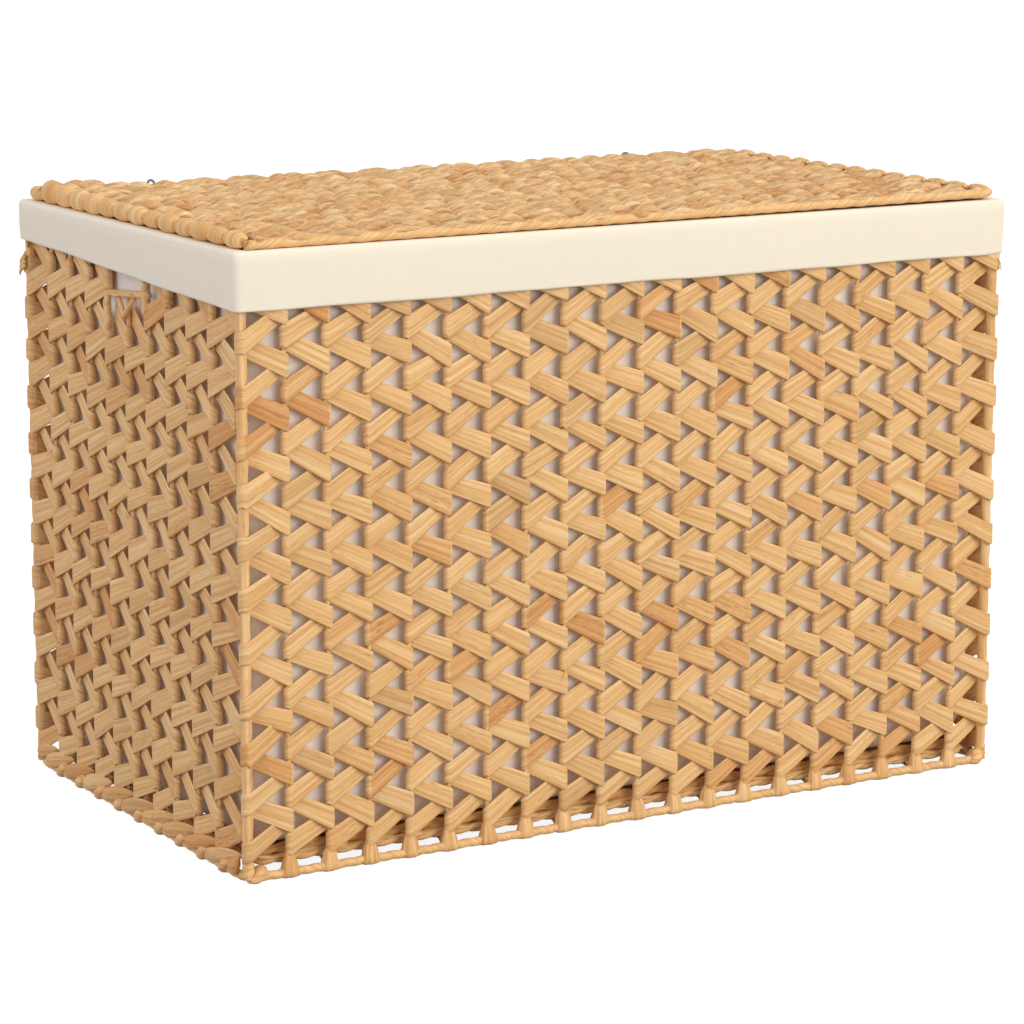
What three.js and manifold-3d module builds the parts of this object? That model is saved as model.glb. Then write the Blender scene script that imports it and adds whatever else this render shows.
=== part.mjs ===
// A lidded laundry sorter basket: a welded wire frame with woven plant-fibre walls, a cotton liner
// with three compartments whose cuff folds over the rim, and a woven lid that swings on two wire rings.
// Millimetres, +Z up, front towards -Y, origin at the centre of the footprint on the floor.
import * as THREE from "three";
import { mergeVertices } from "three/addons/utils/BufferGeometryUtils.js";
import Module from "manifold-3d";

const wasm = await Module();
wasm.setup();

// Driving dimensions of the body
const bodyWidth = 740;
const bodyDepth = 430;
const cuffTop = 507;
const seat = 0.3; // gap that two touching pieces keep

// Wire frame
const baseRailRadius = 3.5;
const topRailRadius = 2.5;
const railCornerRadius = 8;
const postRadius = 4.3;
const stakeRadius = 2;
const frontColumns = 20;
const sideColumns = 10;
const baseRibRadius = 1.8;
const baseRibCount = 6;

// Woven walls
const stripThickness = 2.2;
const stripClearance = 0.4;
const stripClimb = 41; // one zigzag of a strip, up the wall
const stripLag = 4.5; // how much lower a fold at a column's right stake sits than half a climb
const stripCrest = 4.2; // folds, out from the stakes' plane
const stripTrough = -1.2; // gaps between folds
const foldReach = 3; // how far a fold's face spreads beside its stake
const frontFirstFold = 24;
const sideFirstFold = 44.5;
const frontWeaveBottom = 17;
const sideWeaveBottom = 24;
const bindingGap = 1.5;
const stakeBite = 2; // how far a stake's free length reaches into its panel
const tieWidth = 12;
const tieNeck = 8;
const tieHeight = 8;

// Hand holes in the two side walls
const handHoleColumns = 2;
const handHoleBarRadius = 4;
const handHoleDrop = 56; // from the cuff's top to the bar's centre
const knotDrop = 16;
const knotWidth = 14;

// Rope borders along the foot of the two side walls
const borderHeight = 15;
const borderWidth = 8.4;
const borderLay = 47;
const borderWaist = 0.84; // narrowest part of the rope to its widest

// Base mat
const matThickness = 13.4;
const matInset = 15;

// Liner
const cuffCornerRadius = 10;
const cuffHeight = 47;
const cuffThickness = 2.6;
const cuffFlare = 1.4;
const cuffRoll = 1.5;
const cuffShoulder = 6;
const cuffInnerDepth = 24;
const cuffRoomOutside = 1.2;
const cuffRoomInside = 2.4;
const clothThickness = 1.5;
const bagCornerRadius = 40;
const bagBottom = 25;
const dividerBottom = 45;
const dividerDrop = 22;
const compartments = 3;

// Lid
const lidInset = 6.5;
const lidRailRadius = 4.2;
const coilBelow = 5.6;
const coilAbove = 6.8;
const coilSides = 5.9;
const coilEnd = 15;
const lidCoilReach = 20;
const lidRows = 16;
const lidRibs = 33;
const lidCrest = 5.6;
const lidTrough = -0.4;
const lidUnder = 4.4;
const lidCornerRadius = 14;

// Hinge rings
const ringWire = 1.2;
const ringRadius = 8;
const ringPlace = 248;
const ringRoom = 1.5;
const ringTurn = 4;
const slitRoom = 1;
const slitReach = 20;

// Levels and planes worked out from the sizes above
const wallOffset = stakeRadius + stripClearance + stripThickness;
const stakeX = bodyWidth / 2 - wallOffset;
const stakeY = bodyDepth / 2 - wallOffset;
const postInset = railCornerRadius * (1 - Math.SQRT1_2);
const postX = stakeX - postInset;
const postY = stakeY - postInset;
const sidePitch = (2 * postY) / sideColumns;
const topRailCentre = cuffTop - cuffThickness - seat - topRailRadius;
const stakeTop = topRailCentre - topRailRadius - seat;
const stakeBottom = 2 * baseRailRadius + seat;
const ringBottom = topRailCentre - topRailRadius - seat - 2 * ringWire - seat;
const bindingTop = ringBottom - bindingGap;
const handHoleBarCentre = cuffTop - handHoleDrop;
const cuffInnerFace = wallOffset + cuffRoomInside;
const lidRailCentre = cuffTop + seat + coilBelow;
const cuffReach = cuffRoomOutside + cuffThickness + cuffFlare;
const lidRailX = bodyWidth / 2 + cuffReach - lidInset - coilSides;
const lidRailY = bodyDepth / 2 + cuffReach - lidInset - lidRailRadius;

// Finishes
const finish = (color, roughness, metalness = 0) =>
  new THREE.MeshStandardMaterial({ color, roughness, metalness, flatShading: true });
const fibre = finish(0xe1b473, 0.75);
const fibreDark = finish(0xc2935a, 0.8);
const cotton = finish(0xf3e9d6, 0.9);
const lining = finish(0xcfc2ae, 0.9);
const steel = finish(0x54524f, 0.4, 0.8);

const group = new THREE.Group();

function addPiece(name, geometry, material, parent = group) {
  geometry.computeVertexNormals();
  const mesh = new THREE.Mesh(geometry, material);
  mesh.name = name;
  parent.add(mesh);
  return mesh;
}

// A closed geometry as a solid for booleans, and back
function toSolid(geometry) {
  const bare = geometry.index ? geometry.toNonIndexed() : geometry.clone();
  bare.deleteAttribute("normal");
  bare.deleteAttribute("uv");
  const merged = mergeVertices(bare, 1e-4);
  return new wasm.Manifold(
    new wasm.Mesh({
      numProp: 3,
      vertProperties: new Float32Array(merged.attributes.position.array),
      triVerts: new Uint32Array(merged.index.array),
    }),
  );
}

function toGeometry(solid) {
  const mesh = solid.getMesh();
  const geometry = new THREE.BufferGeometry();
  geometry.setAttribute("position", new THREE.BufferAttribute(mesh.vertProperties, 3));
  geometry.setIndex(new THREE.BufferAttribute(mesh.triVerts, 1));
  return geometry;
}

const joined = (geometries) =>
  toGeometry(geometries.map(toSolid).reduce((whole, piece) => whole.add(piece)));

// A skin through equal rings of points, each ring anticlockwise as seen by someone looking ahead.
// It closes on itself, or ends in two flat caps.
function skin(rings, closed = false) {
  const sides = rings[0].length;
  const positions = rings.flat().flatMap((p) => [p.x, p.y, p.z]);
  const index = [];
  const steps = closed ? rings.length : rings.length - 1;
  for (let i = 0; i < steps; i++) {
    const here = i * sides;
    const ahead = ((i + 1) % rings.length) * sides;
    for (let j = 0; j < sides; j++) {
      const k = (j + 1) % sides;
      index.push(here + j, ahead + k, here + k);
      index.push(here + j, ahead + j, ahead + k);
    }
  }
  if (!closed) {
    const last = (rings.length - 1) * sides;
    for (let j = 1; j < sides - 1; j++) {
      index.push(0, j, j + 1);
      index.push(last, last + j + 1, last + j);
    }
  }
  const geometry = new THREE.BufferGeometry();
  geometry.setAttribute("position", new THREE.Float32BufferAttribute(positions, 3));
  geometry.setIndex(index);
  return geometry;
}

// A regular outline of a round bar, with a flat at its lowest side
function roundOutline(radius, sides = 8) {
  return Array.from({ length: sides }, (_, i) => {
    const turn = ((i + 0.5) / sides) * 2 * Math.PI;
    return new THREE.Vector2(radius * Math.cos(turn), radius * Math.sin(turn));
  });
}

// Stations round a rectangle with round corners: a point on the line and the way out from it
function rectangleStations(halfX, halfY, radius, cornerSteps = 4) {
  const stations = [];
  const corners = [[1, -1], [1, 1], [-1, 1], [-1, -1]];
  corners.forEach(([sx, sy], quarter) => {
    for (let i = 0; i <= cornerSteps; i++) {
      const turn = (quarter - 1 + i / cornerSteps) * (Math.PI / 2);
      const out = new THREE.Vector3(Math.cos(turn), Math.sin(turn), 0);
      const middle = new THREE.Vector3(sx * (halfX - radius), sy * (halfY - radius), 0);
      stations.push({ point: middle.addScaledVector(out, radius), out });
    }
  });
  return stations;
}

// An outline of (outward, upward) points swept round the stations, closed into a loop
function sweepRound(stations, outline, height) {
  const rings = stations.map(({ point, out }) =>
    outline.map((p) =>
      new THREE.Vector3(point.x + out.x * p.x, point.y + out.y * p.x, height + p.y)),
  );
  return skin(rings, true);
}

// A straight upright prism between two levels
function upright(x, y, low, high, radius, sides) {
  const prism = new THREE.CylinderGeometry(radius, radius, high - low, sides);
  prism.rotateX(Math.PI / 2);
  return prism.translate(x, y, (low + high) / 2);
}

function box(lowX, highX, lowY, highY, lowZ, highZ) {
  const block = new THREE.BoxGeometry(highX - lowX, highY - lowY, highZ - lowZ);
  return block.translate((lowX + highX) / 2, (lowY + highY) / 2, (lowZ + highZ) / 2);
}

// Wire frame: base rail on the floor, top rail under the cuff, four corner posts, base ribs
function buildFrame() {
  const rail = (radius) => roundOutline(radius / Math.cos(Math.PI / 8));
  addPiece("base_rail", sweepRound(
    rectangleStations(stakeX, stakeY, railCornerRadius), rail(baseRailRadius), baseRailRadius), fibre);
  addPiece("top_rail", sweepRound(
    rectangleStations(stakeX, stakeY, railCornerRadius), roundOutline(topRailRadius), topRailCentre), steel);
  const corners = { front_left: [-1, -1], front_right: [1, -1], back_left: [-1, 1], back_right: [1, 1] };
  for (const [place, [sx, sy]] of Object.entries(corners)) {
    const post = upright(0, 0, stakeBottom, stakeTop, postRadius, 8);
    addPiece("corner_post_" + place, post, fibreDark).position.set(sx * postX, sy * postY, 0);
  }
  const ribLength = 2 * (stakeY - baseRailRadius / Math.cos(Math.PI / 8) - seat);
  for (let i = 0; i < baseRibCount; i++) {
    const rib = new THREE.CylinderGeometry(baseRibRadius, baseRibRadius, ribLength, 8);
    const x = ((i + 0.5) / baseRibCount - 0.5) * 2 * stakeX;
    addPiece("base_rib_" + (i + 1), rib, steel).position.set(x, 0, baseRailRadius);
  }
}

// A diamond-shaped outline in plan, for stakes and the ties at their feet
function diamond(x, z, radius) {
  const corners = [[1, 0], [0, -1], [-1, 0], [0, 1]];
  return corners.map(([cx, cy]) => new THREE.Vector3(x + cx * radius, cy * radius, z));
}

// A stake with the knotted tie that holds its foot to the rail, flared like a bell
const stakeFoot = (x, top) => skin([
  diamond(x, stakeBottom, tieWidth / 2),
  diamond(x, stakeBottom + tieHeight, tieNeck / 2),
  diamond(x, stakeBottom + 1.5 * tieHeight, stakeRadius),
  diamond(x, top, stakeRadius),
]);

const stakeLength = (x, low, high) => skin([diamond(x, low, stakeRadius), diamond(x, high, stakeRadius)]);

// Places of a wall's stakes along it, without the two corner posts
const stakePlaces = (length, columns) =>
  Array.from({ length: columns - 1 }, (_, i) => length * ((i + 1) / columns - 0.5));

// A woven panel in its own frame: X along the wall, -Y outwards, on the plane of its stakes. In each
// column a strip zigzags up, and its folds stand proud by turns beside the left and the right stake.
function wovenPanel(low, high, bottom, top, stakes, firstFold, mirrored = false) {
  const lines = [low];
  for (const x of stakes) lines.push(x - foldReach, x + foldReach);
  lines.push(high);
  const rows = Math.floor((top - foldReach - firstFold) / (stripClimb / 2));
  const edgeLevel = (stripCrest + stripTrough) / 2;
  const outer = lines.map((x, c) => {
    const rightHand = (c % 2 === 1) !== mirrored;
    const column = [new THREE.Vector3(x, -edgeLevel, bottom)];
    for (let m = 0; m <= rows; m++) {
      const proud = rightHand ? m % 2 === 1 : m % 2 === 0;
      const z = firstFold + (m * stripClimb) / 2 - (rightHand ? stripLag : 0);
      column.push(new THREE.Vector3(x, proud ? -stripCrest : -stripTrough, z));
    }
    column.push(new THREE.Vector3(x, -edgeLevel, top));
    return column;
  });
  return relief(outer, wallOffset);
}

// A solid with a folded face towards -Y and a flat back: columns of points, each from the foot up
function relief(columns, back) {
  const tall = columns[0].length;
  const points = columns.flat();
  const at = (c, m) => c * tall + m;
  const index = [];
  for (let c = 0; c < columns.length - 1; c++) {
    for (let m = 0; m < tall - 1; m++) {
      const corners = [at(c, m), at(c + 1, m), at(c + 1, m + 1), at(c, m + 1)];
      const [foot, right, over, left] = corners.map((i) => points[i].y);
      const [a, b, d, e] = foot + over < right + left ? corners : [...corners.slice(1), corners[0]];
      index.push(a, b, d, a, d, e);
    }
  }
  const rim = [];
  for (let c = 0; c < columns.length - 1; c++) rim.push(at(c, 0));
  for (let m = 0; m < tall - 1; m++) rim.push(at(columns.length - 1, m));
  for (let c = columns.length - 1; c > 0; c--) rim.push(at(c, tall - 1));
  for (let m = tall - 1; m > 0; m--) rim.push(at(0, m));
  const firstBack = points.length;
  for (const i of rim) points.push(points[i].clone().setY(back));
  const middle = points.length;
  const centre = points[at(0, 0)].clone().add(points[at(columns.length - 1, tall - 1)]).multiplyScalar(0.5);
  points.push(centre.setY(back));
  rim.forEach((front, i) => {
    const next = (i + 1) % rim.length;
    index.push(rim[next], front, firstBack + i, rim[next], firstBack + i, firstBack + next);
    index.push(firstBack + next, firstBack + i, middle);
  });
  const geometry = new THREE.BufferGeometry().setFromPoints(points);
  return geometry.setIndex(index);
}

// The front and back walls: a panel bound under the top rail, with its stakes tied to the base rail
function buildLongWalls() {
  const panelEnd = postX - postRadius - seat;
  const places = stakePlaces(2 * postX, frontColumns);
  const walls = { front_weave: 0, back_weave: Math.PI };
  for (const [name, turn] of Object.entries(walls)) {
    const wall = new THREE.Group();
    wall.rotation.z = turn;
    wall.position.set(0, turn ? stakeY : -stakeY, 0);
    group.add(wall);
    const pieces = [
      wovenPanel(-panelEnd, panelEnd, frontWeaveBottom, bindingTop, places, frontFirstFold),
    ];
    for (const x of places) {
      pieces.push(stakeFoot(x, frontWeaveBottom + 2 * stakeBite));
      pieces.push(stakeLength(x, bindingTop - stakeBite, stakeTop));
    }
    addPiece(name, joined(pieces), fibre, wall);
  }
}

// A twisted rope along X with a swelling for each lay, flattened to the given width and height
function rope(halfLength, width, height, lay) {
  const lays = Math.round((2 * halfLength) / lay);
  const rings = [];
  for (let i = 0; i <= 2 * lays; i++) {
    const x = halfLength * (i / lays - 1);
    const swell = i % 2 ? 1 : borderWaist;
    rings.push(roundOutline(1, 6).map((p) =>
      new THREE.Vector3(x, -p.x * swell * width / 2 / Math.cos(Math.PI / 6), p.y * swell * height / 2)));
  }
  return skin(rings);
}

// One side wall: two flanks, a middle that ends in the hand hole's wrapped bar, and a rope border
function buildSideWall(side, turn) {
  const wall = new THREE.Group();
  wall.rotation.z = turn;
  wall.position.set(side === "left" ? -stakeX : stakeX, 0, 0);
  group.add(wall);
  const borderTop = stakeBottom + borderHeight;
  const footing = borderTop + seat;
  const panelEnd = postY - postRadius - seat;
  const holeEdge = (handHoleColumns / 2) * sidePitch;
  const places = stakePlaces(2 * postY, sideColumns);
  const flanks = side === "left" ? { back: -1, front: 1 } : { front: -1, back: 1 };
  for (const [place, way] of Object.entries(flanks)) {
    const ends = [way * (holeEdge - stakeRadius), way * panelEnd].sort((a, b) => a - b);
    const ownStakes = places.filter((p) => p * way > holeEdge - stakeRadius);
    const inner = ownStakes.filter((p) => p * way > holeEdge + foldReach);
    const pieces = [
      wovenPanel(ends[0], ends[1], sideWeaveBottom, bindingTop, inner, sideFirstFold, true),
    ];
    for (const x of ownStakes) {
      pieces.push(stakeLength(x, footing, sideWeaveBottom + stakeBite));
      pieces.push(stakeLength(x, bindingTop - stakeBite, stakeTop));
    }
    addPiece(side + "_weave_" + place, joined(pieces), fibre, wall);
  }
  const barEnd = holeEdge - stakeRadius - seat;
  const bar = new THREE.CylinderGeometry(handHoleBarRadius, handHoleBarRadius, 2 * barEnd, 8);
  bar.rotateZ(Math.PI / 2).translate(0, 0, handHoleBarCentre);
  const underBar = places.filter((p) => Math.abs(p) < holeEdge - stakeRadius);
  const middle = [
    bar,
    wovenPanel(-barEnd, barEnd, sideWeaveBottom, handHoleBarCentre, underBar, sideFirstFold, true),
  ];
  for (const x of underBar) {
    middle.push(stakeLength(x, footing, sideWeaveBottom + stakeBite));
    middle.push(skin([
      diamond(x, handHoleBarCentre - knotDrop, wallOffset),
      diamond(x, handHoleBarCentre, knotWidth / 2),
      diamond(x, handHoleBarCentre + handHoleBarRadius + seat, handHoleBarRadius),
    ]));
  }
  addPiece(side + "_hand_hole_bar", joined(middle), fibre, wall);
  const border = rope(panelEnd, borderWidth, borderHeight, borderLay);
  addPiece(side + "_rope_border", border, fibreDark, wall).position.z = stakeBottom + borderHeight / 2;
}

// A flat slab with round corners
function slab(halfX, halfY, radius, low, high) {
  const stations = rectangleStations(halfX, halfY, radius);
  const outline = new THREE.Shape(stations.map(({ point }) => new THREE.Vector2(point.x, point.y)));
  const plate = new THREE.ExtrudeGeometry(outline, { depth: high - low, bevelEnabled: false });
  return plate.translate(0, 0, low);
}

// The woven mat that lies on the base ribs
function buildBaseMat() {
  const low = baseRailRadius + baseRibRadius + seat;
  const halfX = bodyWidth / 2 - matInset;
  const halfY = bodyDepth / 2 - matInset;
  addPiece("base_mat", slab(halfX, halfY, cuffCornerRadius, low, low + matThickness), fibreDark);
}

// The liner: a cuff folded over the rim, slit for the hinge rings, and the bag's sewn panels
function buildLiner() {
  const outside = wallOffset + cuffRoomOutside;
  const inside = -cuffInnerFace;
  const fold = cuffThickness;
  const outline = [
    [outside, -cuffHeight], [outside + fold, -cuffHeight], [outside + fold + cuffFlare, -cuffShoulder],
    [outside + fold + cuffFlare, -cuffRoll], [outside + fold, 0],
    [inside - fold + cuffRoll, 0], [inside - fold, -cuffRoll],
    [inside - fold, -cuffInnerDepth], [inside, -cuffInnerDepth], [inside, -fold], [outside, -fold],
  ].map(([out, up]) => new THREE.Vector2(out, up));
  const band = toSolid(sweepRound(rectangleStations(stakeX, stakeY, cuffCornerRadius), outline, cuffTop));
  const slit = ringWire + slitRoom;
  const slits = [-ringPlace, ringPlace].map((x) => toSolid(box(
    x - slit, x + slit, stakeY - slitReach, stakeY + slitReach, ringBottom - slitRoom, cuffTop + slitRoom)));
  addPiece("liner_cuff", toGeometry(slits.reduce((whole, cut) => whole.subtract(cut), band)), cotton);

  const bagX = stakeX - cuffInnerFace;
  const bagY = stakeY - cuffInnerFace;
  const bagTop = cuffTop - cuffInnerDepth - seat;
  const seam = bagX - bagCornerRadius - seat;
  for (const [name, way] of [["liner_front", -1], ["liner_back", 1]]) {
    const faces = [way * bagY, way * (bagY - clothThickness)].sort((a, b) => a - b);
    addPiece(name, box(-seam, seam, faces[0], faces[1], bagBottom, bagTop), lining);
  }
  const stations = rectangleStations(bagX, bagY, bagCornerRadius);
  const half = stations.length / 2;
  const section = [[-clothThickness, bagBottom], [0, bagBottom], [0, bagTop], [-clothThickness, bagTop]];
  const wallRing = ({ point, out }) => section.map(([depth, z]) =>
    new THREE.Vector3(point.x + out.x * depth, point.y + out.y * depth, z));
  addPiece("liner_right", skin(stations.slice(0, half).map(wallRing)), lining);
  addPiece("liner_left", skin(stations.slice(half).map(wallRing)), lining);
  const tuck = clothThickness + seat;
  const floor = slab(bagX - tuck, bagY - tuck, bagCornerRadius - tuck, bagBottom, bagBottom + clothThickness);
  addPiece("liner_floor", floor, lining);
  const reach = bagY - tuck;
  for (let i = 1; i < compartments; i++) {
    const x = 2 * (bagX - clothThickness) * (i / compartments - 0.5);
    const halfCloth = clothThickness / 2;
    const sheet = box(-halfCloth, halfCloth, -reach, reach, dividerBottom, bagTop - dividerDrop);
    addPiece("liner_divider_" + (i === 1 ? "left" : "right"), sheet, lining).position.x = x;
  }
}

// The lid's plain weave: its strands come up over one rib and dive under the next, staggered row by row
function weaveSheet(halfX, halfY) {
  const ribs = Array.from({ length: lidRibs }, (_, k) => halfX * ((2 * k) / (lidRibs - 1) - 1));
  const columns = ribs.map((x, k) => Array.from({ length: lidRows }, (_, j) => {
    const level = (k + j) % 2 ? lidTrough : lidCrest;
    return new THREE.Vector3(x, -level, halfY * ((2 * j) / (lidRows - 1) - 1));
  }));
  return relief(columns, lidUnder).rotateX(-Math.PI / 2);
}

// The strands' turned ends, coiled round a side rail: a sleeve with the rail's bore
function edgeCoil(halfLength, bore) {
  const sides = 12;
  const outline = new THREE.Shape(Array.from({ length: sides }, (_, i) => {
    const turn = ((i + 0.5) / sides) * 2 * Math.PI;
    const middle = (coilAbove - coilBelow) / 2;
    const high = (coilAbove + coilBelow) / 2 / Math.cos(Math.PI / sides);
    return new THREE.Vector2(coilSides * Math.cos(turn), middle + high * Math.sin(turn));
  }));
  outline.holes.push(new THREE.Path(roundOutline(bore / Math.cos(Math.PI / 8)).reverse()));
  const sleeve = new THREE.ExtrudeGeometry(outline, { depth: 2 * halfLength, bevelEnabled: false });
  return sleeve.translate(0, 0, -halfLength).rotateX(Math.PI / 2);
}

// The lid turns about its own back rail, which the hinge rings hold
function buildLid() {
  const lid = new THREE.Group();
  lid.position.set(0, 0, lidRailCentre);
  group.add(lid);
  const railOutline = roundOutline(lidRailRadius / Math.cos(Math.PI / 8));
  const rail = sweepRound(rectangleStations(lidRailX, lidRailY, lidCornerRadius), railOutline, 0);
  addPiece("lid_rail", rail, fibre, lid);
  const bore = lidRailRadius + 2 * seat;
  const clear = lidRailRadius / Math.cos(Math.PI / 8) + seat;
  const sheet = toSolid(weaveSheet(lidRailX - clear, lidRailY - clear));
  const coils = [-lidRailX, lidRailX].map((x) =>
    toSolid(edgeCoil(lidRailY - coilEnd, bore).translate(x, 0, 0)));
  const inside = toSolid(slab(
    lidRailX - clear, lidRailY - clear, lidCornerRadius - clear, -lidCoilReach, lidCoilReach));
  const notchHalf = ringWire + ringRoom;
  const notchReach = ringRadius + ringWire + ringRoom;
  const notches = [-ringPlace, ringPlace].map((x) =>
    toSolid(box(x - notchHalf, x + notchHalf, lidRailY - notchReach, lidRailY, -lidCoilReach, lidCoilReach)));
  const cut = notches.reduce((whole, notch) => whole.subtract(notch), sheet.intersect(inside));
  addPiece("lid_weave", toGeometry(coils.reduce((whole, coil) => whole.add(coil), cut)), fibre, lid);
}

// Two oval wire rings: each goes round the lid's back rail and the basket's top rail
function buildHingeRings() {
  const low = ringBottom + ringWire - lidRailCentre;
  const path = [];
  for (let i = 0; i <= 8; i++) {
    const angle = (i / 8) * Math.PI;
    path.push(new THREE.Vector2(ringRadius * Math.cos(angle), ringRadius * Math.sin(angle)));
  }
  for (const [way, start] of [[-1, Math.PI], [1, 1.5 * Math.PI]]) {
    for (let i = 0; i <= 3; i++) {
      const angle = start + (i / 3) * (Math.PI / 2);
      path.push(new THREE.Vector2(
        way * (ringRadius - ringTurn) + ringTurn * Math.cos(angle),
        low + ringTurn + ringTurn * Math.sin(angle)));
    }
  }
  const rings = path.map((p, i) => {
    const before = path[(i + path.length - 1) % path.length];
    const after = path[(i + 1) % path.length];
    const ahead = after.clone().sub(before).normalize();
    return roundOutline(ringWire, 6).map((q) =>
      new THREE.Vector3(q.y, p.x + ahead.y * q.x, p.y - ahead.x * q.x));
  });
  for (const [name, x] of [["hinge_ring_left", -ringPlace], ["hinge_ring_right", ringPlace]]) {
    addPiece(name, skin(rings, true), steel).position.set(x, lidRailY, lidRailCentre);
  }
}

buildFrame();
buildLongWalls();
buildSideWall("left", -Math.PI / 2);
buildSideWall("right", Math.PI / 2);
buildBaseMat();
buildLiner();
buildLid();
buildHingeRings();

export default group;
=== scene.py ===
# %% [markdown]
# A laundry sorter basket, dressed over its frame.
#
# The real thing is a welded wire box whose walls are woven by hand from flat strips of dried plant
# fibre. A cotton bag hangs inside, its cuff folded over the rim, and a thick woven lid lies on top. The
# CAD parts give every place and size. This notebook gives them strips, strands, rope and cloth that
# look as they do in the photograph, and it moves none of the CAD parts.

import math
import random

import bpy
import numpy as np
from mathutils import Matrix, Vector


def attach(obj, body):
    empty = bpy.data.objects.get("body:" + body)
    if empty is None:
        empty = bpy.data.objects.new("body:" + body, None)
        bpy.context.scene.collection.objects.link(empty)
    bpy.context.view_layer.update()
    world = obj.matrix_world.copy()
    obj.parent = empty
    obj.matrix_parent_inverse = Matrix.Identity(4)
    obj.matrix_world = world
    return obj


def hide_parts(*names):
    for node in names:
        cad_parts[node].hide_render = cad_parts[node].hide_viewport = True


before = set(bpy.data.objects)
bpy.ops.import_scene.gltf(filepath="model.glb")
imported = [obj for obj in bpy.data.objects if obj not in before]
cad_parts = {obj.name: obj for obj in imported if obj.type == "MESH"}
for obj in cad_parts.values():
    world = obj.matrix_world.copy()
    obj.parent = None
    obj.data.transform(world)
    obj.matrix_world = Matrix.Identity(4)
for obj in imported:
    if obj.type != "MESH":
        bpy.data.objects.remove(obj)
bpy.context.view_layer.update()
bpy.ops.object.select_all(action="DESELECT")

# %% [markdown]
# The camera stands where the photograph's did. Lines that run away from the viewer meet only slowly, so
# the picture was taken from afar with a long lens. Its place was worked out from the corners of the
# box, and the lens is shifted a little because the basket sits higher than the middle of the picture.

# %% The photograph's camera
azimuth = math.radians(-30.16)
elevation = math.radians(10.85)
distance = 3.146
aim = Vector((0.0, 0.0, 0.2535))
away = Vector((
    math.sin(azimuth) * math.cos(elevation),
    -math.cos(azimuth) * math.cos(elevation),
    math.sin(elevation),
))
facing = (-away).to_track_quat("-Z", "Y").to_euler()
bpy.ops.object.camera_add(location=aim + away * distance, rotation=facing)
camera = bpy.context.object
camera.data.lens = 125.0
camera.data.sensor_width = 36.0
camera.data.shift_x = 0.00025
camera.data.shift_y = -0.0263
camera.data.clip_end = 50.0
bpy.context.scene.camera = camera
print("camera at", [round(c, 3) for c in camera.location])

# %% [markdown]
# A catalogue picture has a white ground, but a white world would light the basket from all sides and
# wash out its colour. So the world is white only where the camera, a reflection or glass looks at it,
# and it is dimmer as a light.

# %% A white world that lights softly
bpy.context.scene.view_settings.view_transform = "Standard"
sky_strength = 0.73


def link_nodes(tree, *pairs):
    """Joins sockets given as (from, to)."""
    for source, target in pairs:
        tree.links.new(source, target)


def looked_at(tree):
    """A socket that is 1 where the camera, a reflection or glass looks, and 0 for light."""
    ray = tree.nodes.new("ShaderNodeLightPath")
    so_far = ray.outputs["Is Camera Ray"]
    for kind in ("Is Glossy Ray", "Is Transmission Ray"):
        either = tree.nodes.new("ShaderNodeMath")
        either.operation = "MAXIMUM"
        link_nodes(tree, (so_far, either.inputs[0]), (ray.outputs[kind], either.inputs[1]))
        so_far = either.outputs[0]
    return so_far


world = bpy.data.worlds.new("studio")
bpy.context.scene.world = world
world.use_nodes = True
sky = world.node_tree
sky.nodes.clear()
lighting = sky.nodes.new("ShaderNodeBackground")
lighting.inputs["Color"].default_value = (0.99, 0.985, 1.0, 1.0)
lighting.inputs["Strength"].default_value = sky_strength
seen = sky.nodes.new("ShaderNodeBackground")
seen.inputs["Color"].default_value = (1.0, 1.0, 1.0, 1.0)
seen.inputs["Strength"].default_value = 1.0
choose = sky.nodes.new("ShaderNodeMixShader")
sky_out = sky.nodes.new("ShaderNodeOutputWorld")
link_nodes(
    sky,
    (looked_at(sky), choose.inputs[0]),
    (lighting.outputs[0], choose.inputs[1]),
    (seen.outputs[0], choose.inputs[2]),
    (choose.outputs[0], sky_out.inputs["Surface"]),
)
print("the world looks white and lights at", sky_strength)

# %% [markdown]
# The lamps are large and soft, so shadows are faint. The main one stands to the right of the camera and
# a weaker, bluer one far out on the left, so the long wall is bright and warm and the short wall is
# about a third darker.

# %% Two soft lamps
lamps_face = Vector((0, 0, 0.25))


def softbox(name, place, size, power, tone):
    """A square area lamp that faces the middle of the basket."""
    place = Vector(place)
    turn = (lamps_face - place).to_track_quat("-Z", "Y").to_euler()
    bpy.ops.object.light_add(type="AREA", location=place, rotation=turn)
    lamp = bpy.context.object
    lamp.name = name
    lamp.data.size = size
    lamp.data.energy = power
    lamp.data.color = tone
    print(name, "of", power, "watts at", [round(c, 2) for c in place])


softbox("key_lamp", place=(2.2, -5.2, 2.6), size=5.0, power=214.0, tone=(1.0, 0.985, 0.955))
softbox("fill_lamp", place=(-4.2, -1.2, 1.6), size=3.0, power=42.0, tone=(0.94, 0.96, 1.20))

# %% [markdown]
# The floor is a matte grey sheet that also glows where the camera, a reflection or glass looks at it.
# Together the two come out white, and the basket's shadow still shows, because it darkens the matte
# part.

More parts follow.
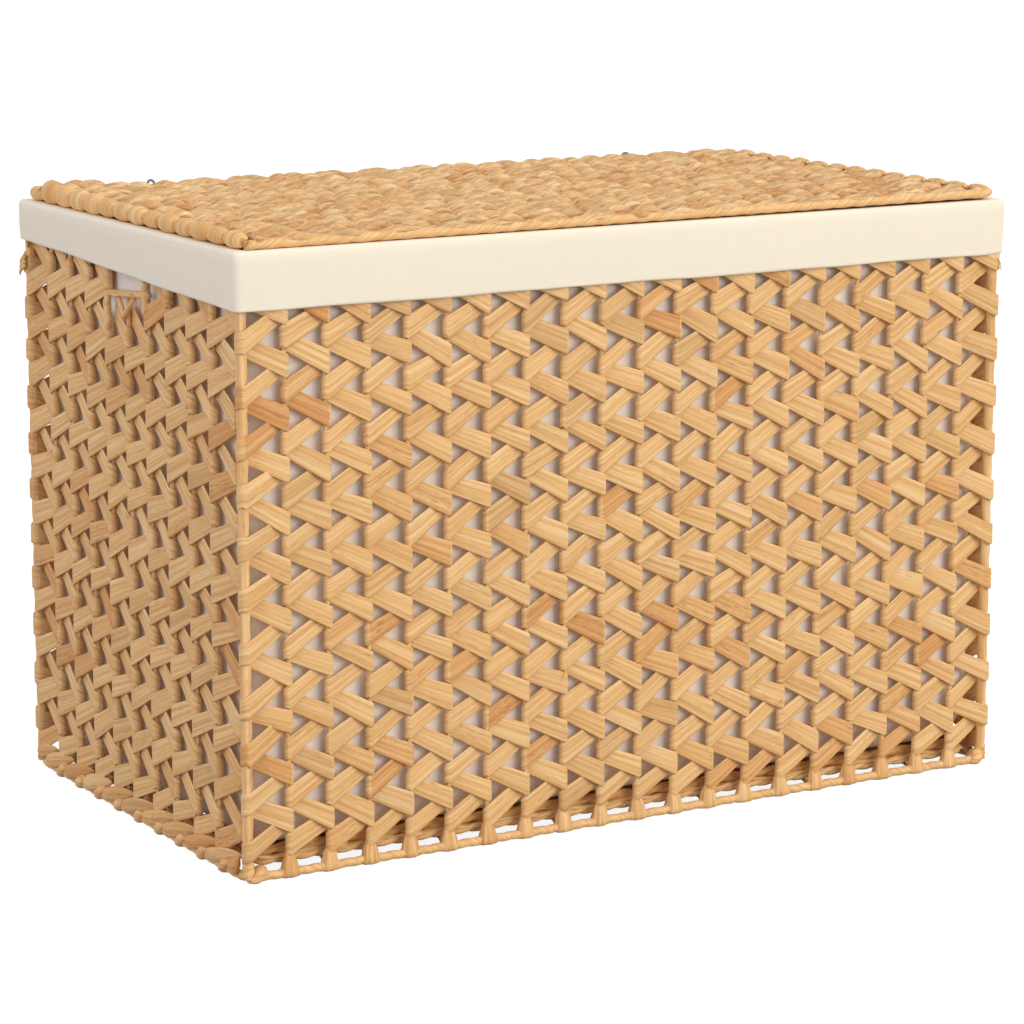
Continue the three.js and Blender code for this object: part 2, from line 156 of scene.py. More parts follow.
# %% The floor
floor_size, floor_grey, floor_glow = 14.0, 0.30, 0.89
bpy.ops.mesh.primitive_plane_add(size=floor_size, location=(0, 0, 0))
floor = bpy.context.object
floor.name = "studio_floor"
ground = bpy.data.materials.new("studio_ground")
ground.use_nodes = True
ground_tree = ground.node_tree
ground_tree.nodes.clear()
matte = ground_tree.nodes.new("ShaderNodeBsdfDiffuse")
matte.inputs["Color"].default_value = (floor_grey, floor_grey, floor_grey, 1.0)
glow = ground_tree.nodes.new("ShaderNodeEmission")
glow.inputs["Color"].default_value = (1.0, 1.0, 1.0, 1.0)
glow_strength = ground_tree.nodes.new("ShaderNodeMath")
glow_strength.operation = "MULTIPLY"
glow_strength.inputs[1].default_value = floor_glow
together = ground_tree.nodes.new("ShaderNodeAddShader")
ground_out = ground_tree.nodes.new("ShaderNodeOutputMaterial")
link_nodes(
    ground_tree,
    (looked_at(ground_tree), glow_strength.inputs[0]),
    (glow_strength.outputs[0], glow.inputs["Strength"]),
    (matte.outputs[0], together.inputs[0]),
    (glow.outputs[0], together.inputs[1]),
    (together.outputs[0], ground_out.inputs["Surface"]),
)
floor.data.materials.append(ground)
print("the floor is", floor_size, "metres wide")

# %% [markdown]
# The finishes of fibre and cloth read the piece's own map, which holds metres along a strand and across
# it. So a pattern has the same size on thick and thin pieces. These helpers make the nodes that the
# finishes share.

# %% Helpers for the finishes
def new_finish(name, roughness):
    """A material, its tree, its shader and the node that reads the piece's own map."""
    finish = bpy.data.materials.new(name)
    finish.use_nodes = True
    tree = finish.node_tree
    shader = tree.nodes["Principled BSDF"]
    shader.inputs["Roughness"].default_value = roughness
    own_map = tree.nodes.new("ShaderNodeUVMap")
    own_map.uv_map = "UVMap"
    return finish, tree, shader, own_map


def noise_on(tree, own_map, waves, detail):
    """Noise with so many waves per metre, (along, across)."""
    stretch = tree.nodes.new("ShaderNodeMapping")
    stretch.inputs["Scale"].default_value = (waves[0], waves[1], 1.0)
    pattern = tree.nodes.new("ShaderNodeTexNoise")
    pattern.inputs["Scale"].default_value = 1.0
    pattern.inputs["Detail"].default_value = detail
    link_nodes(
        tree,
        (own_map.outputs[0], stretch.inputs["Vector"]),
        (stretch.outputs[0], pattern.inputs["Vector"]),
    )
    return pattern.outputs["Fac"]


def remap(tree, source, low, high, to_low, to_high):
    """Brings a number that runs from low to high to one that runs from to_low to to_high."""
    change = tree.nodes.new("ShaderNodeMapRange")
    for socket, value in (("From Min", low), ("From Max", high), ("To Min", to_low), ("To Max", to_high)):
        change.inputs[socket].default_value = value
    link_nodes(tree, (source, change.inputs["Value"]))
    return change.outputs["Result"]


def relief_of(tree, strength, distance):
    """Relief that only shades. distance is its height in metres."""
    bump = tree.nodes.new("ShaderNodeBump")
    bump.inputs["Strength"].default_value = strength
    bump.inputs["Distance"].default_value = distance
    return bump


print("a finish is made of noise along the strand, colour ramps and a little relief")

# %% [markdown]
# Dried plant fibre shows three things at once: fine lines that run along the strip, broader streaks of
# lighter and darker straw, and now and then a strip that is browner or greyer than its neighbours. Each
# strip carries a number called tint, and this ramp turns it into the strip's age: greyish at the low
# end, clean straw in the middle, and browner towards the high end.

# %% A strip's age
age_stops = (
    (0.00, (0.84, 0.82, 0.80)), (0.12, (0.92, 0.91, 0.90)), (0.26, (0.99, 0.99, 0.99)),
    (0.45, (1.03, 1.03, 1.03)), (0.66, (0.99, 0.98, 0.97)), (0.82, (0.95, 0.88, 0.81)),
    (0.93, (0.89, 0.77, 0.66)), (1.00, (0.84, 0.67, 0.54)))


def ramp_of(tree, stops):
    """A colour ramp through stops given as (place, colour)."""
    ramp = tree.nodes.new("ShaderNodeValToRGB")
    elements = ramp.color_ramp.elements
    for element, (place, colour) in zip(elements, (stops[0], stops[-1])):
        element.position, element.color = place, (*colour, 1.0)
    for place, colour in stops[1:-1]:
        elements.new(place).color = (*colour, 1.0)
    return ramp


def blend_of(tree, kind):
    """Two colours laid over each other in full: MULTIPLY darkens A by B, MIX covers A with B."""
    mixed = tree.nodes.new("ShaderNodeMix")
    mixed.data_type = "RGBA"
    mixed.blend_type = kind
    mixed.inputs["Factor"].default_value = 1.0
    return mixed


def times(tree, clamp=False):
    """Two numbers multiplied, kept between 0 and 1 where clamp is set."""
    product = tree.nodes.new("ShaderNodeMath")
    product.operation = "MULTIPLY"
    product.use_clamp = clamp
    return product


print("age changes the straw in", len(age_stops), "stops")

# %% [markdown]
# Dark stains lie in thin broken lines along the fibre, in patches, and old strips have more of them.
# They are made from two noises multiplied, one for the lines and one for the patches, and from the
# tint. Each row of four numbers below says from which range of the noise to which share of stain it
# goes.

# %% A finish for plant fibre
line_range = (0.35, 0.60)
stain_in_lines, stain_in_patches = (0.44, 0.36, 0.0, 0.60), (0.46, 0.58, 0.12, 1.0)
stain_with_age = (0.55, 1.0, 0.75, 2.1)
stain_tone = (0.52, 0.42, 0.36)


def fibre_finish(name, tones, lines, streaks, roughness, relief, depth=(0.90, 1.05)):
    """Dried fibre. tones run from dark to light, lines and streaks are waves per metre (along, across).

    depth is how far the fine lines darken and lighten the straw.
    """
    finish, tree, shader, own_map = new_finish(name, roughness)
    shader.inputs["Specular IOR Level"].default_value = 0.35
    tint = tree.nodes.new("ShaderNodeAttribute")
    tint.attribute_name = "tint"
    streak = noise_on(tree, own_map, streaks, 3.0)
    line = noise_on(tree, own_map, lines, 4.0)
    dark_line = noise_on(tree, own_map, (lines[0] * 1.6, lines[1] * 0.6), 3.0)
    patch = noise_on(tree, own_map, (streaks[0] * 1.6, streaks[1] * 0.25), 1.0)
    straw = ramp_of(tree, ((0.32, tones[0]), (0.48, tones[1]), (0.66, tones[2])))
    age = ramp_of(tree, age_stops)
    aged, fine, stained = blend_of(tree, "MULTIPLY"), blend_of(tree, "MULTIPLY"), blend_of(tree, "MIX")
    stained.inputs["B"].default_value = (*(share * part for share, part in zip(stain_tone, tones[0])), 1.0)
    stain, more_stained = times(tree), times(tree, clamp=True)
    bump = relief_of(tree, strength=0.8, distance=relief)
    link_nodes(
        tree,
        (streak, straw.inputs["Fac"]),
        (tint.outputs["Fac"], age.inputs["Fac"]),
        (straw.outputs["Color"], aged.inputs["A"]),
        (age.outputs["Color"], aged.inputs["B"]),
        (aged.outputs["Result"], fine.inputs["A"]),
        (remap(tree, line, *line_range, *depth), fine.inputs["B"]),
        (remap(tree, dark_line, *stain_in_lines), stain.inputs[0]),
        (remap(tree, patch, *stain_in_patches), stain.inputs[1]),
        (stain.outputs[0], more_stained.inputs[0]),
        (remap(tree, tint.outputs["Fac"], *stain_with_age), more_stained.inputs[1]),
        (more_stained.outputs[0], stained.inputs["Factor"]),
        (fine.outputs["Result"], stained.inputs["A"]),
        (stained.outputs["Result"], shader.inputs["Base Color"]),
        (line, bump.inputs["Height"]),
        (bump.outputs["Normal"], shader.inputs["Normal"]),
    )
    print(name, "has", len(tree.nodes), "nodes")
    return finish


# %% [markdown]
# Three finishes share this recipe. The flat strips are smooth, with very fine lines. The rope and the
# wrapped stakes are rougher and a little darker. The lid's strands are bundles of thick fibres, so
# their lines are coarse and deep.

# %% Strips, ropes and the lid's strands
strip_finish = fibre_finish(
    "straw_strip", ((0.680, 0.370, 0.138), (0.818, 0.478, 0.187), (0.905, 0.610, 0.301)),
    lines=(55, 3000), streaks=(6, 330), roughness=0.6, relief=0.00013, depth=(0.92, 1.04))
rope_finish = fibre_finish(
    "straw_rope", ((0.58, 0.33, 0.12), (0.77, 0.47, 0.18), (0.90, 0.62, 0.30)),
    lines=(50, 2200), streaks=(20, 300), roughness=0.65, relief=0.0003)
lid_finish = fibre_finish(
    "straw_lid", ((0.57, 0.335, 0.135), (0.800, 0.488, 0.207), (0.93, 0.665, 0.36)),
    lines=(90, 1500), streaks=(38, 240), roughness=0.65, relief=0.0006, depth=(0.70, 1.12))

# %% [markdown]
# Cotton canvas has threads both ways, and now and then a thicker one, called a slub. From two metres
# away the threads melt together and only the slubs show, as faint short lines along and across the
# cloth. The cuff is cream, and the bag is cooler, because it is seen in the shade of the weave.

# %% Cotton for the cuff and the bag
def cotton_finish(name, pale, deep, thread):
    """Undyed canvas between two tones. thread is how many slubs could lie side by side in a metre."""
    finish, tree, shader, own_map = new_finish(name, 0.9)
    shader.inputs["Sheen Weight"].default_value = 0.15
    shader.inputs["Sheen Roughness"].default_value = 0.6
    along = noise_on(tree, own_map, (thread * 0.03, thread), 3.0)
    across = noise_on(tree, own_map, (thread * 0.7, thread * 0.05), 3.0)
    cloth = tree.nodes.new("ShaderNodeMath")
    cloth.operation = "ADD"
    colour = tree.nodes.new("ShaderNodeMix")
    colour.data_type = "RGBA"
    colour.inputs["A"].default_value = (*deep, 1.0)
    colour.inputs["B"].default_value = (*pale, 1.0)
    bump = relief_of(tree, strength=0.25, distance=0.0003)
    link_nodes(
        tree,
        (along, cloth.inputs[0]),
        (across, cloth.inputs[1]),
        (remap(tree, cloth.outputs[0], 0.6, 1.4, 0.0, 1.0), colour.inputs["Factor"]),
        (colour.outputs["Result"], shader.inputs["Base Color"]),
        (cloth.outputs[0], bump.inputs["Height"]),
        (bump.outputs["Normal"], shader.inputs["Normal"]),
    )
    print(name, "has", len(tree.nodes), "nodes")
    return finish


cuff_finish = cotton_finish("cuff_cotton", (0.94, 0.85, 0.67), (0.90, 0.805, 0.625), thread=1100)
bag_finish = cotton_finish("bag_cotton", (0.965, 0.875, 0.775), (0.92, 0.825, 0.725), thread=1100)

# %% [markdown]
# The bare wire is drawn steel with a dark lacquer. Its tone wanders a little, as lacquer does where it
# is thin.

# %% Dark wire
wire_finish = bpy.data.materials.new("lacquered_wire")
wire_finish.use_nodes = True
wire_tree = wire_finish.node_tree
wire_shader = wire_tree.nodes["Principled BSDF"]
wire_shader.inputs["Metallic"].default_value = 0.7
wire_shader.inputs["Roughness"].default_value = 0.35
wire_place = wire_tree.nodes.new("ShaderNodeTexCoord")
wire_grain = wire_tree.nodes.new("ShaderNodeTexNoise")
wire_grain.inputs["Scale"].default_value = 260.0
wire_tone = wire_tree.nodes.new("ShaderNodeMix")
wire_tone.data_type = "RGBA"
wire_tone.inputs["A"].default_value = (0.14, 0.135, 0.13, 1.0)
wire_tone.inputs["B"].default_value = (0.24, 0.23, 0.22, 1.0)
link_nodes(
    wire_tree,
    (wire_place.outputs["Object"], wire_grain.inputs["Vector"]),
    (wire_grain.outputs["Fac"], wire_tone.inputs["Factor"]),
    (wire_tone.outputs["Result"], wire_shader.inputs["Base Color"]),
)
print("the wire is", wire_finish.name)

# %% [markdown]
# Nearly everything here is a strand: a strip, a rope, a wrapped bar or a wire. A strand is made as it
# would be by hand, from a flat grid that is rolled round and laid along its way. The grid's rows become
# the steps along the strand and its columns go once round it, the long seam is merged and the ends are
# closed.

# %% Know a flat grid's places, and sew it up
seam_reach = 1e-6


def grid_places(mesh, steps, around):
    """Each point's place along the strand and its place round it, as whole numbers."""
    flat = np.empty(len(mesh.vertices) * 3)
    mesh.vertices.foreach_get("co", flat)
    flat = flat.reshape(-1, 3)
    return [np.rint((flat[:, axis] + 0.5) * count).astype(int) for axis, count in ((0, steps), (1, around))]


def sew_up(closed):
    """Merges the seam of the piece in hand, closes its ends and turns its faces outwards."""
    bpy.ops.object.mode_set(mode="EDIT")
    bpy.ops.mesh.select_mode(type="VERT")
    bpy.ops.mesh.select_all(action="SELECT")
    bpy.ops.mesh.remove_doubles(threshold=seam_reach)
    if not closed:
        bpy.ops.mesh.select_all(action="DESELECT")
        bpy.ops.mesh.select_non_manifold()
        bpy.ops.mesh.fill_holes(sides=0)
        bpy.ops.mesh.select_all(action="SELECT")
    bpy.ops.mesh.normals_make_consistent(inside=False)
    bpy.ops.object.mode_set(mode="OBJECT")
    bpy.ops.object.shade_smooth()


print("a seam closes points less than", seam_reach, "metres apart")

# %% [markdown]
# The grid brings a map along. It is rescaled to metres, so that fibres keep their size on thick and
# thin strands alike, and the strand's tint is written beside it.

# %% Roll a flat grid into a strand
def rolled(name, rings, closed=False, girth=0.04, start=0.0, tints=0.5, twist=0.0):
    """A strand through rings, an array (steps, points round, 3) in metres.

    girth is the way round, or the map's places round. start shifts the map along, twist slants its lines.
    """
    rings = np.asarray(rings, float)
    rows, around = rings.shape[:2]
    steps = rows if closed else rows - 1
    bpy.ops.mesh.primitive_grid_add(x_subdivisions=steps, y_subdivisions=around, size=1)
    piece = bpy.context.object
    piece.name = name
    mesh = piece.data
    i, j = grid_places(mesh, steps, around)
    mesh.vertices.foreach_set("co", rings[i % rows, j % around].ravel())
    middle = rings.mean(axis=1)
    lengths = np.linalg.norm(np.roll(middle, -1, axis=0) - middle, axis=1)
    along = np.concatenate([[0.0], np.cumsum(lengths)])
    across = np.linspace(0, girth, around + 1) if np.ndim(girth) == 0 else np.asarray(girth, float)
    corner = np.empty(len(mesh.loops), int)
    mesh.loops.foreach_get("vertex_index", corner)
    own_map = np.column_stack([start + along[i[corner]], across[j[corner]] + twist * along[i[corner]]])
    mesh.uv_layers[0].name = "UVMap"
    mesh.uv_layers[0].data.foreach_set("uv", own_map.ravel())
    tints = np.broadcast_to(np.asarray(tints, float), (rows,))
    shade = mesh.attributes.new("tint", "FLOAT", "POINT")
    shade.data.foreach_set("value", tints[i % rows].astype(np.float32))
    sew_up(closed)
    return piece


print("a strand can now be rolled through any rings")

# %% [markdown]
# Most strands are round. Their rings stand square to the line that they follow.

# %% Rings of a round strand
def round_angles(count):
    """Evenly spaced angles, once round."""
    return np.arange(count) * 2 * np.pi / count


def tube_rings(points, radius, sides, up=(0, 0, 1), closed=False):
    """Rings of a round strand along points. radius is a number, or an array (steps, sides)."""
    points = np.asarray(points, float)
    if closed:
        ahead = np.roll(points, -1, 0) - np.roll(points, 1, 0)
    else:
        ahead = np.gradient(points, axis=0)
    ahead /= np.linalg.norm(ahead, axis=1, keepdims=True)
    side = np.cross(ahead, np.asarray(up, float))
    side /= np.linalg.norm(side, axis=1, keepdims=True)
    top = np.cross(side, ahead)
    turn = round_angles(sides)
    size = np.broadcast_to(np.asarray(radius, float), (len(points), sides))
    return (points[:, None] + side[:, None] * (size * np.cos(turn))[..., None]
            + top[:, None] * (size * np.sin(turn))[..., None])


print("a ring of 8 turns by", round(math.degrees(round_angles(8)[1])), "degrees at each point")

# %% [markdown]
# Strands that belong together are joined into one piece. Then the piece gets its finish and the body that
# it moves with, and the CAD parts that it stands in for are hidden.

# %% Join strands and settle a piece
def hold_only(pieces):
    """Selects these pieces and no others, with the first one in hand."""
    bpy.ops.object.select_all(action="DESELECT")
    for piece in pieces:
        piece.select_set(True)
    bpy.context.view_layer.objects.active = pieces[0]


def gathered(name, pieces):
    """Joins strands into one piece."""
    hold_only(pieces)
    bpy.ops.object.join()
    whole = bpy.context.object
    whole.name = name
    whole.data.name = name
    return whole


def settle(piece, finish, body, stands_for=()):
    """Gives a finished piece its material and the body that it moves with."""
    hold_only([piece])
    bpy.ops.object.transform_apply(location=True, rotation=True, scale=True)
    piece.data.materials.clear()
    piece.data.materials.append(finish)
    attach(piece, body)
    if stands_for:
        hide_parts(*stands_for)
    piece.select_set(False)
    print(piece.name, len(piece.data.polygons), "faces")


# %% [markdown]
# Places and sizes of the frame, in metres, as in the CAD part. Each wall has its own simple directions:
# u runs to the right for someone who looks at it from outside, n comes out of it towards them, and z
# goes up. Hand work is never quite even, so many sizes below are drawn a little differently each time,
# from one seeded row of random numbers.

# %% Walls and their directions
stake_x, stake_y = 0.3654, 0.2104
post_x, post_y = 0.3644, 0.2094
walls = {"front": post_x, "back": post_x, "left": post_y - 0.0094, "right": post_y - 0.0094}
columns = {"front": 20, "back": 20, "left": 10, "right": 10}
dice = random.Random(7)


def on_wall(wall, u, n, z):
    """Turns places in a wall's own directions into places in the frame."""
    u, n, z = np.broadcast_arrays(u, n, z)
    if wall == "front":
        return np.stack([u, -stake_y - n, z], -1)
    if wall == "back":
        return np.stack([-u, stake_y + n, z], -1)
    if wall == "left":
        return np.stack([-stake_x - n, -u, z], -1)
    return np.stack([stake_x + n, u, z], -1)


def stakes_of(wall):
    """Places of a wall's stakes along it, with the corner posts at both ends."""
    half = walls[wall]
    return [half * (2 * k / columns[wall] - 1) for k in range(columns[wall] + 1)]


print({wall: [round(s, 4) for s in stakes_of(wall)[:3]] for wall in walls})

# %% [markdown]
# The walls. In each column between two stakes one flat strip climbs in a zigzag. It starts in front of
# the left stake, slants up and goes behind the right one, folds round it to the front, slants back up
# to the left and goes behind the left stake, folds round that and starts again. Neighbouring columns
# fold round a shared stake by turns. The photograph shows a climb of about 41 mm a turn, strips about
# 17 mm wide and small triangles between them where the bag shows. A slow wave moves all the folds a
# little up and down, because a hand-woven row is never quite level.

# %% How a strip climbs
climb, slant = 0.041, 0.0209
left_lift, right_lift = 0.00175, 0.0008
fold_turns = (-0.95, -0.35, 0.35, 0.95)
slant_shares = (0, 0.35, 0.7, 1)


def wave(u, z, seed):
    """How far a fold strays from its level row."""
    a, b, c = seed
    return (0.0016 * math.sin(2 * math.pi * (u / 0.31 + z / 0.23) + a)
            + 0.0013 * math.sin(2 * math.pi * (u / 0.12 - z / 0.37) + b)
            + 0.0008 * math.sin(2 * math.pi * (u / 0.05 + z / 0.11) + c))


def slanted(start, end, height, tint):
    """Stations from start to end, each (u, n, z). The strip narrows as it dives behind the other."""
    stations = []
    for t in slant_shares:
        u, n, z = (a + (b - a) * t for a, b in zip(start, end))
        stations.append((u, n, z, height * (1.10 - 0.22 * t), tint))
    return stations


def folded(place, way, behind, before, z, lift, height, tint):
    """Stations round a stake, from behind to before. way is 1 on the column's right and -1 on its left."""
    return [(place + way * behind * math.cos(turn), (behind if turn < 0 else before) * math.sin(turn),
             z + lift * turn, height, tint) for turn in fold_turns]


print("a strip climbs", 1000 * climb, "mm a turn")

# %% [markdown]
# A column is one strip after another. Most strips go on a little changed in colour at a fold, and
# sometimes a new one begins. Their widths differ by about a tenth.

# %% Uneven strips
same_strip = 0.6


def next_tint(tint):
    """The strip's colour after a fold: near the old one where the strip goes on, or quite another."""
    if dice.random() < same_strip:
        return 0.5 * tint + 0.5 * dice.random()
    return dice.random()


def uneven(size):
    """A size as it comes out by hand."""
    return size * dice.uniform(0.88, 1.10)


print("a strip goes on past a fold", round(100 * same_strip), "times in 100")

# %% [markdown]
# The zigzag itself. On the short walls the strip starts below the rope border, which covers its end,
# and its first turn is bent up so that it doesn't hang below the border.

# %% A column's zigzag
fold_height, slant_height, start_height, left_share = 0.0186, 0.0181, 0.0180, 0.97
front_gap, foot_rise, top_room = 0.0009, 0.0125, 0.009
stray_right, stray_left = 0.0014, 0.0010


def zigzag(left, right, reach_left, reach_right, low, high, seed, lead_in):
    """Stations (u, n, z, height, tint) of one column's strip from level low to level high.

    lead_in starts it a turn lower, and bends what would hang too low up to the foot.
    """
    stations = []
    level = low
    front = reach_right + front_gap
    tint = dice.random()
    if lead_in:
        level -= climb
    else:
        left_now = low + wave(left, low, seed)
        stations += folded(left, -1, reach_left, reach_left, left_now, left_lift, start_height, tint)
    while level < high:
        left_now = level + wave(left, level, seed)
        stray = dice.uniform(-stray_right, stray_right)
        right_now = level + slant + wave(right, level + slant, seed) + stray
        stray = dice.uniform(-stray_left, stray_left)
        left_next = level + climb + wave(left, level + climb, seed) + stray
        rising = uneven(slant_height)
        stations += slanted((left, reach_left, left_now + left_lift),
                            (right, -reach_right, right_now - right_lift), rising, tint)
        returning = uneven(fold_height)
        at_fold = 0.5 * (rising + returning)
        stations += folded(right, 1, reach_right, front, right_now, right_lift, at_fold, tint)
        tint = next_tint(tint)
        stations += slanted((right, front, right_now + right_lift),
                            (left, -reach_left, left_next - left_lift), returning, tint)
        at_fold = left_share * returning
        stations += folded(left, -1, reach_left, reach_left, left_next, left_lift, at_fold, tint)
        tint = next_tint(tint)
        level += climb
    foot = low - climb + foot_rise if lead_in else 0.0
    below_top = [(u, n, max(z, foot), *rest) for u, n, z, *rest in stations if z + top_room < high]
    return [station for station in below_top if station[2] > foot or not lead_in]


print("strips are about", 1000 * slant_height, "mm wide")

# %% [markdown]
# A strip's section is a thin lens. It is rolled through the column's stations, square to its way as
# seen from above, so it turns its flat side outwards on the wall and bends round the stakes.

# %% A strip's section and its grid
strip_half = 0.0007
strip_lens = ((-0.5, 0), (-0.48, 0.75), (-0.41, 0.96), (0, 1), (0.41, 0.96), (0.48, 0.75),
              (0.5, 0), (0.48, -0.75), (0.41, -0.96), (0, -1), (-0.41, -0.96), (-0.48, -0.75))
strip_edges = [v for v, _ in strip_lens] + [strip_lens[0][0]]
strip_map = np.concatenate([[0], np.cumsum(np.abs(np.diff(strip_edges)))]) * 0.018


def strip(wall, stations, mirror):
    """A rolled strip through the stations. On the short walls the weave runs the other way."""
    u, n, z, height, tint = np.array(stations).T
    ahead = np.gradient(np.column_stack([u, n]), axis=0)
    ahead /= np.linalg.norm(ahead, axis=1, keepdims=True)
    out_u, out_n = -ahead[:, 1], ahead[:, 0]
    across = np.array([v for v, _ in strip_lens])
    proud = np.array([o for _, o in strip_lens]) * strip_half
    ring_u = u[:, None] + out_u[:, None] * proud
    ring_n = n[:, None] + out_n[:, None] * proud
    ring_z = z[:, None] + height[:, None] * across
    rings = on_wall(wall, -ring_u if mirror else ring_u, ring_n, ring_z)
    return rolled("strip", rings, girth=strip_map, start=dice.uniform(0, 50), tints=tint)


print("strips are", 2000 * strip_half, "mm thick")

# %% [markdown]
# Now the four walls, column by column. The strips reach a little further round a corner post than round
# a stake. On the short walls the two columns at the hand hole stop at its lower edge.

# %% Weave the walls
stake_reach, corner_reach, post_reach = 0.0030, 0.0049, 0.0036
long_foot, short_foot = 0.024, 0.0445
strips_end, hole_edge = 0.484, 0.442
hole_columns = (4, 5)

for wall, stands_for in (
    ("front", ("front_weave",)),
    ("back", ("back_weave",)),
    ("left", ("left_weave_front", "left_weave_back", "left_hand_hole_bar")),
    ("right", ("right_weave_front", "right_weave_back", "right_hand_hole_bar")),
):
    short = wall in ("left", "right")
    places = stakes_of(wall)
    if short:
        places[0], places[-1] = places[0] - post_reach, places[-1] + post_reach
    seed = [dice.uniform(0, 6.28) for _ in range(3)]
    strips = []
    for k in range(columns[wall]):
        reach_left = corner_reach if k == 0 and not short else stake_reach
        reach_right = corner_reach if k == columns[wall] - 1 and not short else stake_reach
        low = short_foot if short else long_foot
        high = hole_edge if short and k in hole_columns else strips_end
        stations = zigzag(places[k], places[k + 1], reach_left, reach_right, low, high, seed, short)
        strips.append(strip(wall, stations, short))
    settle(gathered(wall + "_strips", strips), strip_finish, "basket", stands_for)

# %% [markdown]
# The stakes are thin wires wrapped with fibre, and they show between the folds. A wrapped bar bulges a
# little at each turn, and the turns lean.

# %% Wrapped stakes
foot_of_bars, head_of_bars = 0.0075, 0.4985
stake_radius, stake_pitch, middle_stake = 0.0021, 0.006, 5


def wrapped(name, points, radius, pitch, depth, sides=10, closed=False, start=0.0, twist=0.0):
    """A bar wrapped with a narrow strip. pitch is a turn's length and depth is how high it bulges."""
    points = np.asarray(points, float)
    ahead = np.roll(points, -1, 0) if closed else np.vstack([points[1:], points[-1:]])
    along = np.concatenate([[0], np.cumsum(np.linalg.norm(ahead - points, axis=1))[:-1]])
    turn = np.arange(sides) / sides
    bulge = np.sqrt(np.abs(np.sin(np.pi * (along[:, None] / pitch + turn))))
    reach = np.abs(points[-1] - points[0])
    upright = reach[2] > reach[0] + reach[1]
    up = (0, 1, 0) if upright else (0, 0, 1)
    rings = tube_rings(points, radius - depth + depth * bulge, sides, up=up, closed=closed)
    return rolled(name, rings, closed=closed, girth=2 * math.pi * radius, start=start, twist=twist)


uprights = []
for wall in walls:
    for k, place in enumerate(stakes_of(wall)):
        if k in (0, columns[wall]):
            continue
        over_hole = wall in ("left", "right") and k == middle_stake
        z = np.linspace(foot_of_bars, 0.446 if over_hole else head_of_bars, 60)
        points = on_wall(wall, place + 0.0003 * np.sin(z * 40 + k), 0.0, z)
        uprights.append(wrapped("stake", points, stake_radius, stake_pitch, depth=0.0002, sides=8,
                                start=dice.uniform(0, 30)))
settle(gathered("stakes", uprights), rope_finish, "basket")

# %% [markdown]
# The corner posts are thicker, and the wrapping goes round and round them in a long slant. A short,
# tight binding holds each post's foot.

# %% Wrapped corner posts
posts = {"front_left": (-1, -1), "front_right": (1, -1), "back_left": (-1, 1), "back_right": (1, 1)}


def upright_line(x, y, low, high, count):
    """Points straight up from low to high."""
    z = np.linspace(low, high, count)
    return np.column_stack([np.full_like(z, x), np.full_like(z, y), z])


for place, (side_x, side_y) in posts.items():
    name = "wrapped_post_" + place
    line = upright_line(side_x * post_x, side_y * post_y, foot_of_bars, head_of_bars, 220)
    post = wrapped(name, line, radius=0.0045, pitch=0.024, depth=0.0007, sides=14,
                   start=dice.uniform(0, 30))
    line = upright_line(side_x * post_x, side_y * post_y, 0.0035, 0.0150, 24)
    foot = wrapped("foot", line, radius=0.0051, pitch=0.0062, depth=0.0010, sides=14,
                   start=dice.uniform(0, 30))
    settle(gathered(name, [post, foot]), strip_finish, "basket", ("corner_post_" + place,))

# %% [markdown]
# On the long walls each stake stands on the base rail in a knotted tie that spreads like a bell. The
# table gives the tie's outline, from the stake down to the floor.

# %% Ties at the stakes' feet
tie_levels = (  # height, half width along the wall, half depth through it, in millimetres
    (24, 2.6, 1.6), (21, 3.2, 1.9), (18, 4.2, 2.6), (14.5, 5.6, 4.2), (11.5, 6.2, 5.2), (8.5, 6.9, 5.8),
    (5.5, 7.7, 6.4), (3, 8.6, 6.6), (1.2, 8.6, 5.6), (0.2, 7.2, 4.2))
tie_top, tie_neck = tie_levels[0][0], 4.0


def tie(wall, place):
    """A bell-shaped knot of strands, fluted, with its strands spreading over the rail."""
    turn = round_angles(20)
    flute = 1 + 0.12 * np.cos(7 * turn + dice.uniform(0, 6)) + 0.05 * np.cos(4 * turn + dice.uniform(0, 6))
    flare = dice.uniform(0.90, 1.08)
    lean = dice.uniform(-0.0016, 0.0016)
    rings = []
    for z, half_u, half_n in tie_levels:
        drop = 1 - z / tie_top
        flared = tie_neck + (half_u - tie_neck) * flare if half_u > tie_neck else half_u
        wide = flared * dice.uniform(0.95, 1.06)
        u = place + lean * drop + 0.001 * wide * np.cos(turn) * flute
        n = 0.001 * half_n * np.sin(turn) * flute
        rings.append(on_wall(wall, u, n, 0.001 * z))
    return rolled("tie", rings, girth=0.05, start=dice.uniform(0, 30), tints=dice.uniform(0.2, 0.9))


ties = [tie(wall, place) for wall in ("front", "back") for place in stakes_of(wall)[1:-1]]
settle(gathered("stake_ties", ties), strip_finish, "basket")

# %% [markdown]
# The base rail is a thick wire with a narrow strip wound round it, so its edge is finely scalloped. It
# lies on the floor and turns the corners in small arcs.

# %% Base rail
def rounded_rectangle(half_x, half_y, radius, spacing):
    """Even points round a rectangle with round corners, anticlockwise from above, and the way round."""
    dense = []
    for quarter, (sx, sy) in enumerate(((1, -1), (1, 1), (-1, 1), (-1, -1))):
        turn = (quarter - 1 + np.linspace(0, 1, 24)) * np.pi / 2
        dense.append(np.column_stack([sx * (half_x - radius) + radius * np.cos(turn),
                                      sy * (half_y - radius) + radius * np.sin(turn)]))
    dense = np.vstack(dense)
    closed = np.vstack([dense, dense[:1]])
    along = np.concatenate([[0], np.cumsum(np.linalg.norm(np.diff(closed, axis=0), axis=1))])
    count = int(round(along[-1] / spacing))
    where = np.arange(count) * along[-1] / count
    return np.column_stack([np.interp(where, along, closed[:, axis]) for axis in (0, 1)]), along[-1]


